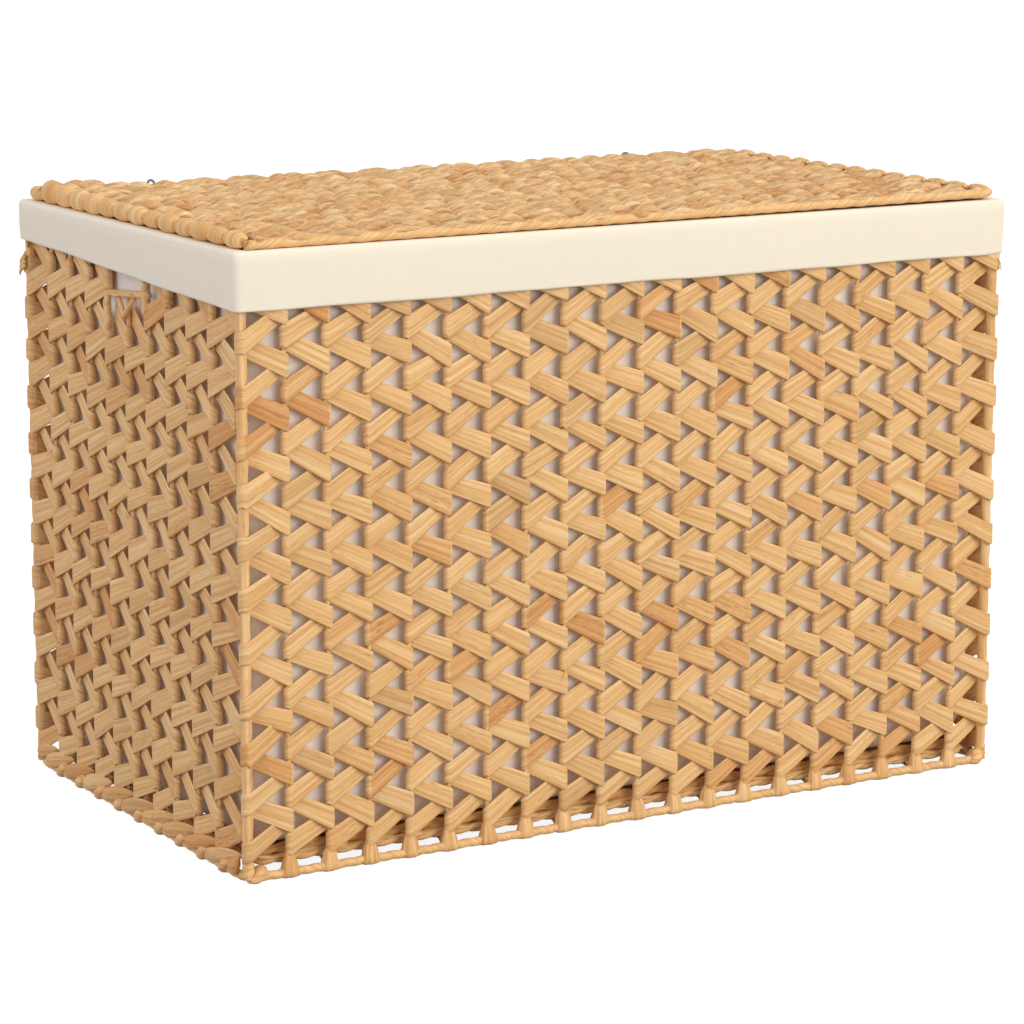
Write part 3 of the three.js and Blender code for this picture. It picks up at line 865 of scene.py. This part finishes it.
def level(points, z):
    """Points of a plan, all at height z."""
    return np.column_stack([points, np.full(len(points), z)])


def whole_turns(length, pitch):
    """The pitch nearest to this one that goes into the length without a rest."""
    return length / round(length / pitch)


rail_out, rail_middle = 0.0004, 0.0040
rail_line, rail_length = rounded_rectangle(
    stake_x + rail_out, stake_y + rail_out, radius=0.016, spacing=0.0022)
rail_pitch = whole_turns(rail_length, 0.014)
base_rail = wrapped("wrapped_base_rail", level(rail_line, rail_middle), radius=0.0039, pitch=rail_pitch,
                    depth=0.0011, sides=12, closed=True, twist=1.1)
settle(base_rail, strip_finish, "basket", ("base_rail",))

# %% [markdown]
# Short loops of strand tie things to the base rail. One holds each end of the long walls at the
# corners, and more of them hold the rope borders below.

# %% Loops at the corners
loop_levels = ((-1, 0.0044), (-0.85, 0.0064), (-0.35, 0.0080), (0.35, 0.0080), (0.85, 0.0064), (1, 0.0044))
loop_half, loop_middle, floor_clear = 0.0052, 0.0056, 0.0002


def rail_loop(wall, place):
    """A short loop of strand round the base rail, thickest in its middle, pressed flat on the floor."""
    turn = round_angles(14)
    lean = dice.uniform(0.0015, 0.0035)
    rings = []
    for v, size in loop_levels:
        z = np.maximum(floor_clear, loop_middle + size * np.sin(turn))
        rings.append(on_wall(wall, place + loop_half * v + lean * np.sin(turn), size * np.cos(turn), z))
    return rolled("loop", rings, girth=0.03, start=dice.uniform(0, 30), tints=dice.uniform(0.2, 0.8))


end_loops = [rail_loop(wall, side * (post_x - 0.0070)) for wall in ("front", "back") for side in (-1, 1)]
settle(gathered("corner_loops", end_loops), strip_finish, "basket")

# %% [markdown]
# The rope border that closes the foot of each short wall is made of long soft lays that overlap like
# leaves. Each rises from behind the one before it, swells and tapers off.

# %% Rope borders
border_half, border_lays = post_y - 0.0030, 10
lay_low, lay_climb, lay_stray = 0.0086, 0.0094, 0.0010
lay_inside, lay_bulge = -0.0020, 0.0072
lay_tip, lay_tall, lay_edge, lay_thick = 0.0014, 0.0066, 0.0010, 0.0014


def ease_in_out(t):
    """Goes from 0 to 1 with a soft start and a soft end."""
    return t * t * (3 - 2 * t)


def leaf_border(wall, half_length, count):
    """Soft leaf-shaped lays that climb along the foot of a short wall, each tucked behind the next."""
    pieces = []
    t = np.linspace(0, 1, 13)
    turn = round_angles(12)
    for k in range(-1, count):
        start_u = half_length * (2 * (k + 0.25) / count - 1)
        length = 2 * half_length / count * dice.uniform(1.28, 1.58)
        u = start_u + length * t
        z = lay_low + (lay_climb + dice.uniform(-lay_stray, lay_stray)) * ease_in_out(t)
        n = lay_inside + lay_bulge * np.sin(np.pi * np.clip(0.12 + 0.92 * t, 0, 1)) ** 0.8
        tall = lay_tip + lay_tall * np.sin(np.pi * t) ** 0.75 * dice.uniform(0.84, 1.14)
        thick = lay_edge + lay_thick * np.sin(np.pi * t)
        ring_u = u[:, None] + 0.35 * tall[:, None] * np.sin(turn)
        ring_n = n[:, None] + thick[:, None] * np.cos(turn) * (1 + 0.12 * np.cos(5 * turn + k))
        ring_z = z[:, None] + tall[:, None] * np.sin(turn)
        keep = np.abs(u) < half_length
        if keep.sum() > 3:
            rings = on_wall(wall, ring_u[keep], ring_n[keep], ring_z[keep])
            pieces.append(rolled("lay", rings, girth=0.03, start=dice.uniform(0, 30), tints=dice.random()))
    return pieces


for wall in ("left", "right"):
    lays = leaf_border(wall, border_half, border_lays)
    spots = [border_half * (2 * (k + 0.20) / border_lays - 1) for k in range(1, border_lays)]
    loops = [rail_loop(wall, place) for place in spots]
    border = gathered(wall + "_laid_rope", lays + loops)
    settle(border, strip_finish, "basket", (wall + "_rope_border",))

# %% [markdown]
# The base mat lies on the wire ribs inside the rail, a few millimetres lower at the right end, where
# the gap over the rail is narrower. Its rim is a rope of two strands laid round each other, seen
# through that gap.

# %% The mat's rim
mat_x, mat_y = 0.357, 0.202
mat_low, mat_tip = 0.0112, 0.0015


def mat_drop(x, half_x=mat_x):
    """How much lower the mat lies at x than at its left end."""
    return mat_tip * (1 + x / half_x)


def rope_round(half_x, half_y, z, lay, thick, tint):
    """Two strands laid round each other along a rounded rectangle. lay is the length of one full turn."""
    radius, spread, spacing = 0.010, 0.0015, 0.004
    line, length = rounded_rectangle(half_x, half_y, radius, spacing)
    turns = max(1, round(length / lay))
    ahead = np.roll(line, -1, 0) - np.roll(line, 1, 0)
    ahead /= np.linalg.norm(ahead, axis=1, keepdims=True)
    out = np.column_stack([ahead[:, 1], -ahead[:, 0]])
    phase = 2 * np.pi * turns * np.arange(len(line)) / len(line)
    pieces = []
    for first in (0, np.pi):
        middle = np.column_stack([line + out * (spread * np.cos(phase + first))[:, None],
                                  z + spread * np.sin(phase + first) - mat_drop(line[:, 0], half_x)])
        pieces.append(rolled("lay", tube_rings(middle, thick, 8, closed=True), closed=True, girth=0.016,
                             start=dice.uniform(0, 30), tints=tint))
    return pieces


rim = rope_round(mat_x - 0.0040, mat_y - 0.0040, mat_low + 0.0020, lay=0.036, thick=0.0027, tint=0.5)
settle(gathered("base_mat_rim", rim), strip_finish, "basket")

# %% [markdown]
# A second rope lies on the rim, tinted browner: painted shade for the shadow that it lies in under the
# walls. Between the ropes the mat is a plain weave of flat strands, up and down in turn.

# %% The mat
# painted_shade_tint gives the second rope a browner tone that stands in for shade
rope_inset, rope_rise, painted_shade_tint = 0.0062, 0.0098, 0.985
mat_ropes = rope_round(mat_x - rope_inset, mat_y - rope_inset, mat_low + rope_rise, lay=0.045, thick=0.0031,
                       tint=painted_shade_tint)
mat_rows, mat_steps, mat_bump = 14, 100, 0.030
for row in range(mat_rows):
    y = (mat_y - 0.013) * (2 * row / (mat_rows - 1) - 1)
    x = np.linspace(-(mat_x - 0.006), mat_x - 0.006, mat_steps)
    z = mat_low + 0.0042 + 0.0014 * np.cos(np.pi * x / mat_bump + np.pi * row) - mat_drop(x)
    turn = round_angles(8)
    rings = np.stack(np.broadcast_arrays(
        x[:, None], y + 0.0136 * np.cos(turn), z[:, None] + 0.0026 * np.sin(turn)), -1)
    strand = rolled("mat_strand", rings, girth=0.06, start=dice.uniform(0, 30), tints=dice.random())
    mat_ropes.append(strand)
settle(gathered("base_mat_weave", mat_ropes), rope_finish, "basket", ("base_mat",))

# %% [markdown]
# Six wire ribs carry the mat from one long wall to the other. Each rises from the rail to the mat and
# bends behind the nearest stake, so that a tie hides its end.

# %% Ribs under the mat
ribs, rib_half, rib_radius = 6, 0.2075, 0.0018
bend_from, bend_length = 0.1944, 0.060
rise_from, rise_length, rib_low, rib_rise = 0.2024, 0.008, 0.0035, 0.0050
for k in range(1, ribs + 1):
    rib_x = ((k - 0.5) / ribs - 0.5) * 2 * stake_x
    tie_x = min(stakes_of("front"), key=lambda place: abs(place - rib_x))
    y = np.linspace(-rib_half, rib_half, 200)
    bend = ease_in_out(np.clip((bend_from - np.abs(y)) / bend_length, 0, 1))
    rise = ease_in_out(np.clip((rise_from - np.abs(y)) / rise_length, 0, 1))
    x = tie_x + (rib_x - tie_x) * bend
    z = rib_low + (rib_rise - mat_drop(rib_x)) * rise
    wire = tube_rings(np.column_stack([x, y, z]), rib_radius, 10)
    rib = rolled("base_rib_wire_%d" % k, wire, girth=0.011)
    settle(rib, rope_finish, "basket", ("base_rib_%d" % k,))

# %% [markdown]
# The hand holes are gaps two columns wide under the cuff. Their lower edge is a thin bar wrapped round
# and round with fibre, a little higher at one end. Two strands tie it to the middle stake in a V, each
# with a small loop round the bar, and its ends are bound to short uprights.

# %% Hand-hole bars
hole_half, bar_height, bar_slope = 0.0430, 0.4490, 0.0036
knot_foot, knot_spread, knot_ring = 0.4300, 0.0175, 0.0042
bar_front = 0.0012


def knot(wall, side, top):
    """A strand from the middle stake up to the bar, and the loop that it ends in."""
    t = np.linspace(0, 1, 14)
    strand = on_wall(wall, side * knot_spread * t, 0.0046 - 0.0030 * t + 0.0008 * side,
                     knot_foot + (top - knot_foot) * t)
    leg = rolled("knot", tube_rings(strand, 0.0021, 8, up=(0.3, 0.3, 0)), girth=0.013,
                 start=dice.uniform(0, 30), tints=0.6)
    way = t * 2 * np.pi
    ring = on_wall(wall, side * knot_spread + knot_ring * np.cos(way), bar_front + knot_ring * np.sin(way),
                   top + 0.0020 + 0.0016 * t)
    loop = rolled("knot", tube_rings(ring, 0.0015, 8), girth=0.010, start=dice.uniform(0, 30), tints=0.6)
    return [leg, loop]


for wall in ("left", "right"):
    u = np.linspace(-hole_half, hole_half, 80)
    line = on_wall(wall, u, bar_front, bar_height + bar_slope * u / hole_half)
    pieces = [wrapped("bar", line, radius=0.0031, pitch=0.0085, depth=0.0008, sides=12,
                      start=dice.uniform(0, 30))]
    for side, top in ((-1, 0.4445), (1, 0.4475)):
        pieces += knot(wall, side, top)
    for upright, foot, head in ((-0.0370, 0.4160, 0.4465), (0.0400, 0.4370, 0.4630)):
        z = np.linspace(foot, head, 40)
        line = on_wall(wall, upright + 0.0010 * np.sin(z * 300), 0.0030, z)
        pieces.append(wrapped("end", line, radius=0.0030, pitch=0.009, depth=0.0008, sides=12,
                              start=dice.uniform(0, 30)))
    settle(gathered(wall + "_hole_bar", pieces), strip_finish, "basket")

# %% [markdown]
# Here and there a strip's end was cut with scissors and left standing. Two small tufts of such ends
# stick out under the cuff, at the back left post and at the front right one, and a few thin fibres curl
# off the walls.

# %% Loose ends
stray_fibres = 26


def loose_end(wall, start, end, girth, curl):
    """A tapering fibre from start to end, both (u, n, z), that curls outwards."""
    t = np.linspace(0, 1, 8)[:, None]
    way = np.array(start) + (np.array(end) - np.array(start)) * t
    way[:, 1] += curl * np.sin(np.pi * t[:, 0])
    radius = (girth * (1 - 0.75 * t)) * np.ones(6)
    rings = tube_rings(on_wall(wall, way[:, 0], way[:, 1], way[:, 2]), radius, 6, up=(0.5, 0.4, 0.2))
    return rolled("loose", rings, girth=0.008, start=dice.uniform(0, 30), tints=dice.uniform(0.6, 0.95))


tufts = []
for k in range(3):
    tufts.append(loose_end("left", (-0.2060, 0.0052, 0.4585 - 0.004 * k),
                           (-0.2165 - 0.0014 * k, 0.0050, 0.4490 - 0.0042 * k), girth=0.0024, curl=0.002))
    tufts.append(loose_end("front", (0.3630, 0.0050, 0.4570 - 0.003 * k),
                           (0.3690 + 0.0006 * k, 0.0056, 0.4500 - 0.0025 * k), girth=0.0012, curl=0.001))
for _ in range(stray_fibres):
    wall = dice.choice(("front", "front", "left", "back", "right"))
    u, z = dice.choice(stakes_of(wall)[1:-1]), dice.uniform(0.06, 0.42)
    tip = (u + dice.uniform(-0.010, 0.010), 0.0062, z + dice.uniform(-0.012, 0.012))
    tufts.append(loose_end(wall, (u, 0.0040, z), tip, girth=0.0005, curl=0.002))
settle(gathered("loose_ends", tufts), strip_finish, "basket")

# %% [markdown]
# The liner. Its cuff is a band of cotton canvas that folds over the rim from the inside. Seen from
# above it goes once round the rim, in stations close together at the corners and 7 mm apart along the
# sides.

# %% The cuff's way round the rim
corner_steps, cuff_step, corner_room = 8, 0.007, 0.013
corner_round, least_round, rim_reach = 0.0085, 0.0015, 0.009


def corner_place(side_x, side_y, way, reach):
    """A point of the cuff's plan at a corner, reach out of the stakes' plane."""
    arc = max(least_round, corner_round + reach - rim_reach)
    return side_x * (stake_x + reach - arc) + arc * way[0], side_y * (stake_y + reach - arc) + arc * way[1]


cuff_stations = []  # (x, y, way out, corner or None)
for quarter, (sx, sy) in enumerate(((1, -1), (1, 1), (-1, 1), (-1, -1))):
    for angle in (quarter - 1 + np.linspace(0, 1, corner_steps + 1)) * math.pi / 2:
        cuff_stations.append((sx * stake_x, sy * stake_y, (math.cos(angle), math.sin(angle)), (sx, sy)))
    way = (math.cos(quarter * math.pi / 2), math.sin(quarter * math.pi / 2))
    side = (stake_y if quarter % 2 == 0 else stake_x) - corner_room
    count = int(2 * side / cuff_step)
    for k in range(count + 1):
        run = side * (2 * k / count - 1)
        cuff_stations.append((way[0] * stake_x - way[1] * run, way[1] * stake_y + way[0] * run, way, None))
print("the cuff has", len(cuff_stations), "stations")

# %% [markdown]
# On the short walls the hem runs at a slant, as in the photograph, because cloth is never hung quite
# evenly. The section is that of a folded band with a rolled hem: up outside, over the rail, down
# inside, and back between the two. A slow soft wave moves the hem and the face, as cloth does where
# nothing pulls it straight.

# %% The cuff
hem_front, hem_rise, hem_turn = 0.4595, 0.0135, 0.012
hem_ripple, face_ripple = 0.0007, 0.0005


def ripple(s, size, seed):
    """A slow soft wave along a length s."""
    slow, middling, quick = (np.sin(s * waves + k * seed) for k, waves in ((1, 21), (2, 47), (3, 83)))
    return size * (slow + 0.6 * middling + 0.4 * quick) / 2


def hem_height(x, y, corner):
    """The hem is low along the front, climbs along the short walls and is high along the back."""
    on_side = 1.0 if corner else min(1.0, max(0.0, (abs(x) - stake_x + hem_turn) / hem_turn))
    to_back = 1.0 if y > stake_y - hem_turn else on_side * (y + stake_y) / (2 * stake_y)
    return hem_front + hem_rise * to_back


def cuff_section(low, soft):
    """Points (out from the stakes' plane, height), from the hem at low up outside, over and back."""
    return (
        (0.0052, low), (0.0064, low + 0.0004), (0.0069 + soft, low + 0.0020), (0.0068 + soft, low + 0.0034),
        (0.0069 + soft, low + 0.0046), (0.0073 + soft, 0.482), (0.0077, 0.4975), (0.0076, 0.5035),
        (0.0066, 0.5062), (0.0048, 0.5072), (-0.0050, 0.5070),
        (-0.0086, 0.5060), (-0.0094, 0.5030), (-0.0094, 0.4835), (-0.0078, 0.4830), (-0.0076, 0.5020),
        (-0.0060, 0.5046), (0.0054, 0.5046), (0.0068, 0.5020), (0.0062, 0.480),
        (0.0054 + soft, low + 0.006))


cuff_rings = []
length_so_far = 0.0
for x, y, way, corner in cuff_stations:
    if not corner:
        length_so_far += cuff_step
    low = hem_height(x, y, corner) + ripple(length_so_far, hem_ripple, 1.0)
    ring = []
    for reach, z in cuff_section(low, ripple(length_so_far, face_ripple, 4.0)):
        plan = corner_place(*corner, way, reach) if corner else (x + way[0] * reach, y + way[1] * reach)
        ring.append((*plan, z))
    cuff_rings.append(ring)
cuff = rolled("cuff_cloth", cuff_rings, closed=True, girth=0.19)
settle(cuff, cuff_finish, "basket", ("liner_cuff",))

# %% [markdown]
# The bag hangs from the cuff's inner edge as one soft shell with round corners, and its floor lies on
# the mat. It is rolled as a tube of cloth whose lower end is drawn in to close the floor.

# %% Roll the bag
bag_x, bag_y = stake_x - 0.0074, stake_y - 0.0074
bag_top, bag_floor, bag_corner, bag_points = 0.4826, 0.0262, 0.014, 158
bag_levels = (
    bag_top, 0.46, 0.42, 0.37, 0.32, 0.27, 0.22, 0.17, 0.12, 0.08, 0.055, 0.041, 0.032, bag_floor + 0.0006)
floor_shares = (0.86, 0.62, 0.34, 0.02)
belly, belly_high = 0.0006, 0.455
draw_in, draw_from, draw_length = 0.010, 0.058, 0.0316
fade_from, fade_length = 0.09, 0.05


def with_the_mat(points):
    """The cloth near the floor lies lower at the right end, as the mat below it does."""
    fade = np.clip((fade_from - points[:, 2]) / fade_length, 0, 1)
    points[:, 2] -= mat_drop(points[:, 0]) * fade
    return points


bag_rings = []
for z in bag_levels:
    inset = belly * math.sin(math.pi * (bag_top - z) / belly_high)
    inset += draw_in * max(0.0, (draw_from - z) / draw_length)
    line, _ = rounded_rectangle(bag_x - inset, bag_y - inset, bag_corner, spacing=0.002)
    pick = np.linspace(0, len(line), bag_points, endpoint=False).astype(int)
    bag_rings.append(with_the_mat(level(line[pick], z)))
for share in floor_shares:
    bag_rings.append(with_the_mat(level(line[pick] * share, bag_floor)))
bag = rolled("bag_cloth", bag_rings, girth=2.2)
print("the bag is", round(2 * bag_x, 3), "by", round(2 * bag_y, 3), "metres")

# %% [markdown]
# Rolling closes both ends, and a bag is open above, so the faces at the top come off again. Solidify
# gives the cloth its thickness, inwards.

# %% Open the bag and give it thickness
cloth_thick = 0.0012


def thickened(piece, offset):
    """Gives a sheet its thickness, inwards where offset is -1 and to both sides where it is 0."""
    cloth = piece.modifiers.new("cloth", "SOLIDIFY")
    cloth.thickness = cloth_thick
    cloth.offset = offset
    bpy.ops.object.modifier_apply(modifier=cloth.name)


bpy.ops.object.mode_set(mode="EDIT")
bpy.ops.mesh.select_mode(type="FACE")
bpy.ops.mesh.select_all(action="DESELECT")
bpy.ops.object.mode_set(mode="OBJECT")
for face in bag.data.polygons:
    face.select = face.center.z > bag_top - 0.0001 and abs(face.normal.z) > 0.9
bpy.ops.object.mode_set(mode="EDIT")
bpy.ops.mesh.delete(type="FACE")
bpy.ops.object.mode_set(mode="OBJECT")
thickened(bag, offset=-1.0)
bag_panels = ("liner_front", "liner_back", "liner_left", "liner_right", "liner_floor")
settle(bag, bag_finish, "basket", bag_panels)
bag_area = 4 * (bag_x + bag_y) * (bag_top - bag_floor) + 4 * bag_x * bag_y
print("bag cloth is about", round(bag_area, 3), "square metres")

# %% [markdown]
# Two dividers make three sections. Each hangs from its upper corners, so its top edge sags a little,
# and it has a few shallow folds.

# %% Dividers
divider_foot, divider_high, top_sag, fold_depth = 0.045, 0.416, 0.010, 0.0020
beside_wall = 0.0018
for name, x in (("left", -1), ("right", 1)):
    place = x * (bag_x - cloth_thick) / 3
    bpy.ops.mesh.primitive_grid_add(x_subdivisions=24, y_subdivisions=20, size=1)
    divider = bpy.context.object
    divider.name = "divider_cloth_" + name
    for vertex in divider.data.vertices:
        across, up = vertex.co.x + 0.5, vertex.co.y + 0.5
        vertex.co = (
            place + fold_depth * math.sin(7 * across + 3 * up + x) * math.sin(math.pi * up),
            (across - 0.5) * 2 * (bag_y - beside_wall),
            divider_foot + up * divider_high - top_sag * math.sin(math.pi * across) * up,
        )
    thickened(divider, offset=0.0)
    bpy.ops.object.shade_smooth()
    settle(divider, bag_finish, "basket", ("liner_divider_" + name,))

# %% [markdown]
# The lid is woven from plump strands that run from side to side, over one rib and under the next, each
# row staggered against its neighbours. Seen square on, the photograph's lid has a dark spot every 43 mm
# along a row and rows about 15 mm apart. The lid's back left corner stands a few millimetres proud, as
# if it had warped while it dried, but the hinged edge itself stays straight, because it has to turn.

# %% The lid's places
lid_z, cuff_top = 0.5128, 0.5074
lid_rail_x, lid_rail_y = 0.3590, 0.2080
lid_half_x, lid_half_y = lid_rail_x - 0.0040, lid_rail_y + 0.0028
hinge_x = 0.248
lid_rows, lid_ribs, lid_coils = 28, 33, 14
corner_lift, corner_middle, corner_wide, straight_edge = 0.0080, -0.340, 0.045, 0.020
rib_pitch = 2 * lid_half_x / (lid_ribs - 1)
row_pitch = 2 * lid_half_y / lid_rows


def warp(x, y):
    """How far the weave stands proud near the lid's back left corner."""
    to_back = np.clip((y + lid_rail_y) / (2 * lid_rail_y), 0, 1) ** 2
    before_edge = np.clip((lid_rail_y - y) / straight_edge, 0, 1)
    return corner_lift * (to_back * before_edge) * np.exp(-((x - corner_middle) / corner_wide) ** 2)


print("ribs every", round(1000 * rib_pitch, 1), "mm and rows every", round(1000 * row_pitch, 1), "mm")

# %% [markdown]
# A strand swells where it comes up over a rib and is pinched where it dives, which gives the
# lens-shaped bumps of the photograph. Every bump has its own colour, size and place. The first and last
# rows lie flatter, tucked inside the rail, and the last one makes room for the hinge rings.

# %% Strands of the lid
crest_lift, dive_drop = 0.0024, 0.0034
edge_level, edge_wave, edge_inset = 0.0004, 0.0012, 0.0020
ring_room, ring_reach, ring_pinch = 0.0062, 0.008, 0.55
least_pinch, more_pinch = 0.20, 0.26
usual_width, crest_width, swell_width = 0.92, 0.34, 0.12
strand_thick, crest_thick, strand_end, bumps = 0.0032, 0.0012, 0.004, 20
lid_turn = round_angles(12)


def drawn(low, high):
    """One number for each bump of a row."""
    return np.array([dice.uniform(low, high) for _ in range(bumps)])


def lid_strand(row):
    """A strand of the lid. up is 1 where it is over a rib and -1 where it is under one."""
    y = row_pitch * (row + 0.5 - lid_rows / 2)
    run = np.linspace(-lid_half_x + strand_end, lid_half_x - strand_end, 180)
    stray = 0.0034 * np.sin(run * 13 + row * 1.7) + 0.0022 * np.sin(run * 41 + row * 4.1)
    rib = (run + stray + lid_half_x) / rib_pitch - row % 2
    up = np.cos(np.pi * rib)
    crest, dip = np.clip(up, 0, 1) ** 0.8, np.clip(-up, 0, 1)
    bump, dive = np.rint(rib / 2).astype(int) + 1, np.rint((rib + 1) / 2).astype(int)
    tint, size, shift = drawn(0, 1), drawn(-1, 1), drawn(-1, 1)
    pinch = least_pinch + more_pinch * drawn(0, 1) ** 2
    swell = size[bump] * crest
    z = lid_z + crest_lift * crest - dive_drop * dip + 0.0006 * swell + warp(run, y)
    middle = y + 0.0014 * shift[bump] * crest + 0.0005 * np.sin(run * 60 + row * 2.1)
    width = usual_width + crest_width * crest - pinch[dive] * dip + swell_width * swell
    half_wide = row_pitch / 2 * width
    half_thick = strand_thick + crest_thick * crest
    if row in (0, lid_rows - 1):
        z = lid_z + edge_level + edge_wave * up
        middle = middle - edge_inset
    if row == lid_rows - 1:
        room = np.exp(-((np.abs(run) - hinge_x) / ring_reach) ** 4)
        middle = middle - ring_room * room
        half_wide = half_wide * (1 - ring_pinch * room)
    ridge = 1 + 0.06 * np.cos(4 * lid_turn + row) + 0.04 * np.cos(5 * lid_turn + 2 * row)
    rings = np.stack(np.broadcast_arrays(
        run[:, None],
        middle[:, None] + half_wide[:, None] * np.cos(lid_turn),
        z[:, None] + half_thick[:, None] * np.sin(lid_turn) * ridge), -1)
    return rolled("strand", rings, girth=0.036, start=dice.uniform(0, 30), tints=tint[bump],
                  twist=dice.uniform(0.05, 0.20))


strands = [lid_strand(row) for row in range(lid_rows)]
print(len(strands), "strands are woven")

# %% [markdown]
# At both ends the strands turn round the side rail in coils, more plumply on the left. The last coil by
# the hinge is smaller, so that it clears the cuff when the lid opens. A round core fills the coils from
# inside.

# %% Turned ends at the side rails
coil_sizes = {-1: (0.0019, 0.0056, 0.0012), 1: (0.0020, 0.0038, 0.0)}  # (bend, thickness, out) on each side
coil_turn = np.linspace(math.radians(155), math.radians(-175), 20)
core_radius, coil_lift = 0.0030, 0.0006
last_proud, last_wide, last_thick = 0.35, 0.8, 0.7


def lid_coil(side, k):
    """One turned end. It never goes below the top of the cuff."""
    bend, plump, out = coil_sizes[side]
    last = k == lid_coils - 1
    y = 2 * lid_half_y * ((k + 0.5) / lid_coils - 0.5)
    proud = 0.5 * warp(side * lid_rail_x, y) * (last_proud if last else 1.0)
    x = side * (lid_rail_x + out + bend * np.cos(coil_turn))
    z = lid_z + (0.0 if last else coil_lift + 0.6 * out) + proud + (bend + proud) * np.sin(coil_turn)
    wide = lid_half_y / lid_coils * dice.uniform(0.92, 1.02) * (last_wide if last else 1.0)
    slide = 0.0010 * dice.uniform(-1, 1) + 0.0025 * np.cos(coil_turn / 2)
    swollen = plump * dice.uniform(0.90, 1.10) * (last_thick if last else 1.0) * np.sin(lid_turn)
    out_x, out_z = side * np.cos(coil_turn), np.sin(coil_turn)
    rings = np.stack([
        x[:, None] + out_x[:, None] * swollen,
        (y + slide)[:, None] + wide * np.cos(lid_turn),
        np.maximum(z[:, None] + out_z[:, None] * swollen, cuff_top)], -1)
    return rolled("coil", rings, girth=0.05, start=dice.uniform(0, 30), tints=dice.uniform(0.2, 0.8),
                  twist=0.2)


def lid_core(side):
    """The round core inside one side's coils."""
    y = np.linspace(-lid_rail_y - 0.001, lid_rail_y + 0.001, 30)
    line = np.column_stack([np.full(30, side * lid_rail_x), y, lid_z + 0.0002 + warp(side * lid_rail_x, y)])
    rings = tube_rings(line, core_radius, 10)
    return rolled("core", rings, girth=0.019, start=dice.uniform(0, 30), tints=0.9)


coils = []
for side in (-1, 1):
    coils += [lid_coil(side, k) for k in range(lid_coils)]
    strands.append(lid_core(side))
print(len(coils), "ends are turned")

# %% [markdown]
# The flat ribs show between the bumps as darker bars; their dark brown tint is painted shade, for the
# shadow in the holes between the bumps. Along the front edge one more strand lies outside the rail,
# wrapped, so the edge looks like a fine rope.

# %% Ribs and the front bar
flat_rib_half, flat_rib_thick, rib_inset = 0.0092, 0.0009, 0.0095
bar_out, bar_round, bar_wide, bar_thick = 0.0022, 0.0023, 0.0046, 0.0036
bar_drop, bar_tilt, bar_swell = 0.0010, 0.0008, 0.07


def lid_rib(k):
    """A flat rib from front to back, level with the strands' middle."""
    x = -lid_half_x + rib_pitch * k
    y = np.linspace(-lid_rail_y + rib_inset, lid_rail_y - rib_inset, 24)
    turn = lid_turn[::2]
    rings = np.stack(np.broadcast_arrays(
        x + flat_rib_half * np.cos(turn), y[:, None],
        (lid_z + warp(x, y))[:, None] + flat_rib_thick * np.sin(turn)), -1)
    # tints=0.97 makes every rib dark brown: painted shade for the holes between the bumps
    return rolled("lid_rib", rings, girth=0.03, start=dice.uniform(0, 30), tints=0.97)


strands += [lid_rib(k) for k in range(lid_ribs)]
x = np.linspace(-lid_rail_x + 0.001, lid_rail_x - 0.001, 240)
swell = (1 + bar_swell * np.sin(2 * np.pi * x / 0.019 + 3 * np.sin(9 * x)))[:, None]
bar_z = lid_z - bar_drop + bar_tilt * x / lid_rail_x
bar_rings = np.stack([
    x[:, None] + bar_round * np.sin(lid_turn),
    -lid_rail_y - bar_out + bar_wide * swell * np.cos(lid_turn),
    bar_z[:, None] + bar_thick * swell * np.sin(lid_turn)], -1)
coils.append(rolled("front_bar", bar_rings, girth=0.027, start=dice.uniform(0, 30), tints=0.4, twist=1.2))
print("the front bar is", round(2000 * bar_thick, 1), "mm thick")

# %% [markdown]
# The strands and ribs make one piece. The turned ends and the front bar make another, because they are
# the same straw as the walls. Both ride on the lid, and so does its rail, a wire wrapped in a long
# slant.

# %% Join the lid
settle(gathered("lid_strands", strands), lid_finish, "lid", ("lid_weave",))
settle(gathered("lid_edge_coils", coils), strip_finish, "lid")
lid_line, lid_length = rounded_rectangle(lid_rail_x, lid_rail_y, radius=0.007, spacing=0.003)
lid_rail_z, lid_pitch = 0.5124, whole_turns(lid_length, 0.030)
lid_rail = wrapped("wrapped_lid_rail", level(lid_line, lid_rail_z), radius=0.0024, pitch=lid_pitch,
                   depth=0.0004, sides=12, closed=True)
settle(lid_rail, rope_finish, "lid", ("lid_rail",))

# %% [markdown]
# Two wire rings hold the lid. Each is an oval that goes round the lid's back rail and the basket's top
# rail, as such lids are often hung, through a small slit in the cuff. Its upper end is a half oval and
# its lower end is narrower, with two small round corners.

# %% Hinge rings
hinge_y, hinge_z, ring_foot = 0.2095, 0.5129, -0.0156
ring_wide, ring_high, ring_corner, ring_wire = 0.008, 0.0050, 0.004, 0.0012
oval = [(ring_wide * math.cos(a), ring_high * math.sin(a)) for a in np.linspace(0, np.pi, 13)]
for way, first in ((-1, math.pi), (1, 1.5 * math.pi)):
    for a in np.linspace(first, first + math.pi / 2, 6):
        oval.append((ring_corner * (way + math.cos(a)), ring_foot + ring_corner * (1 + math.sin(a))))
for name, x in (("left", -hinge_x), ("right", hinge_x)):
    points = np.array([(x, hinge_y + across, hinge_z + up) for across, up in oval])
    wire = tube_rings(points, ring_wire, 10, up=(1, 0, 0), closed=True)
    ring = rolled("hinge_wire_" + name, wire, closed=True, girth=0.0075)
    settle(ring, wire_finish, "basket", ("hinge_ring_" + name,))

# %% [markdown]
# The top rail is the one CAD part that shows as it is: a plain dark wire under the cuff, seen from
# inside.

# %% The top rail's finish
rail_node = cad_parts["top_rail"]
rail_node.data.materials.clear()
rail_node.data.materials.append(wire_finish)
print("top_rail has", wire_finish.name)
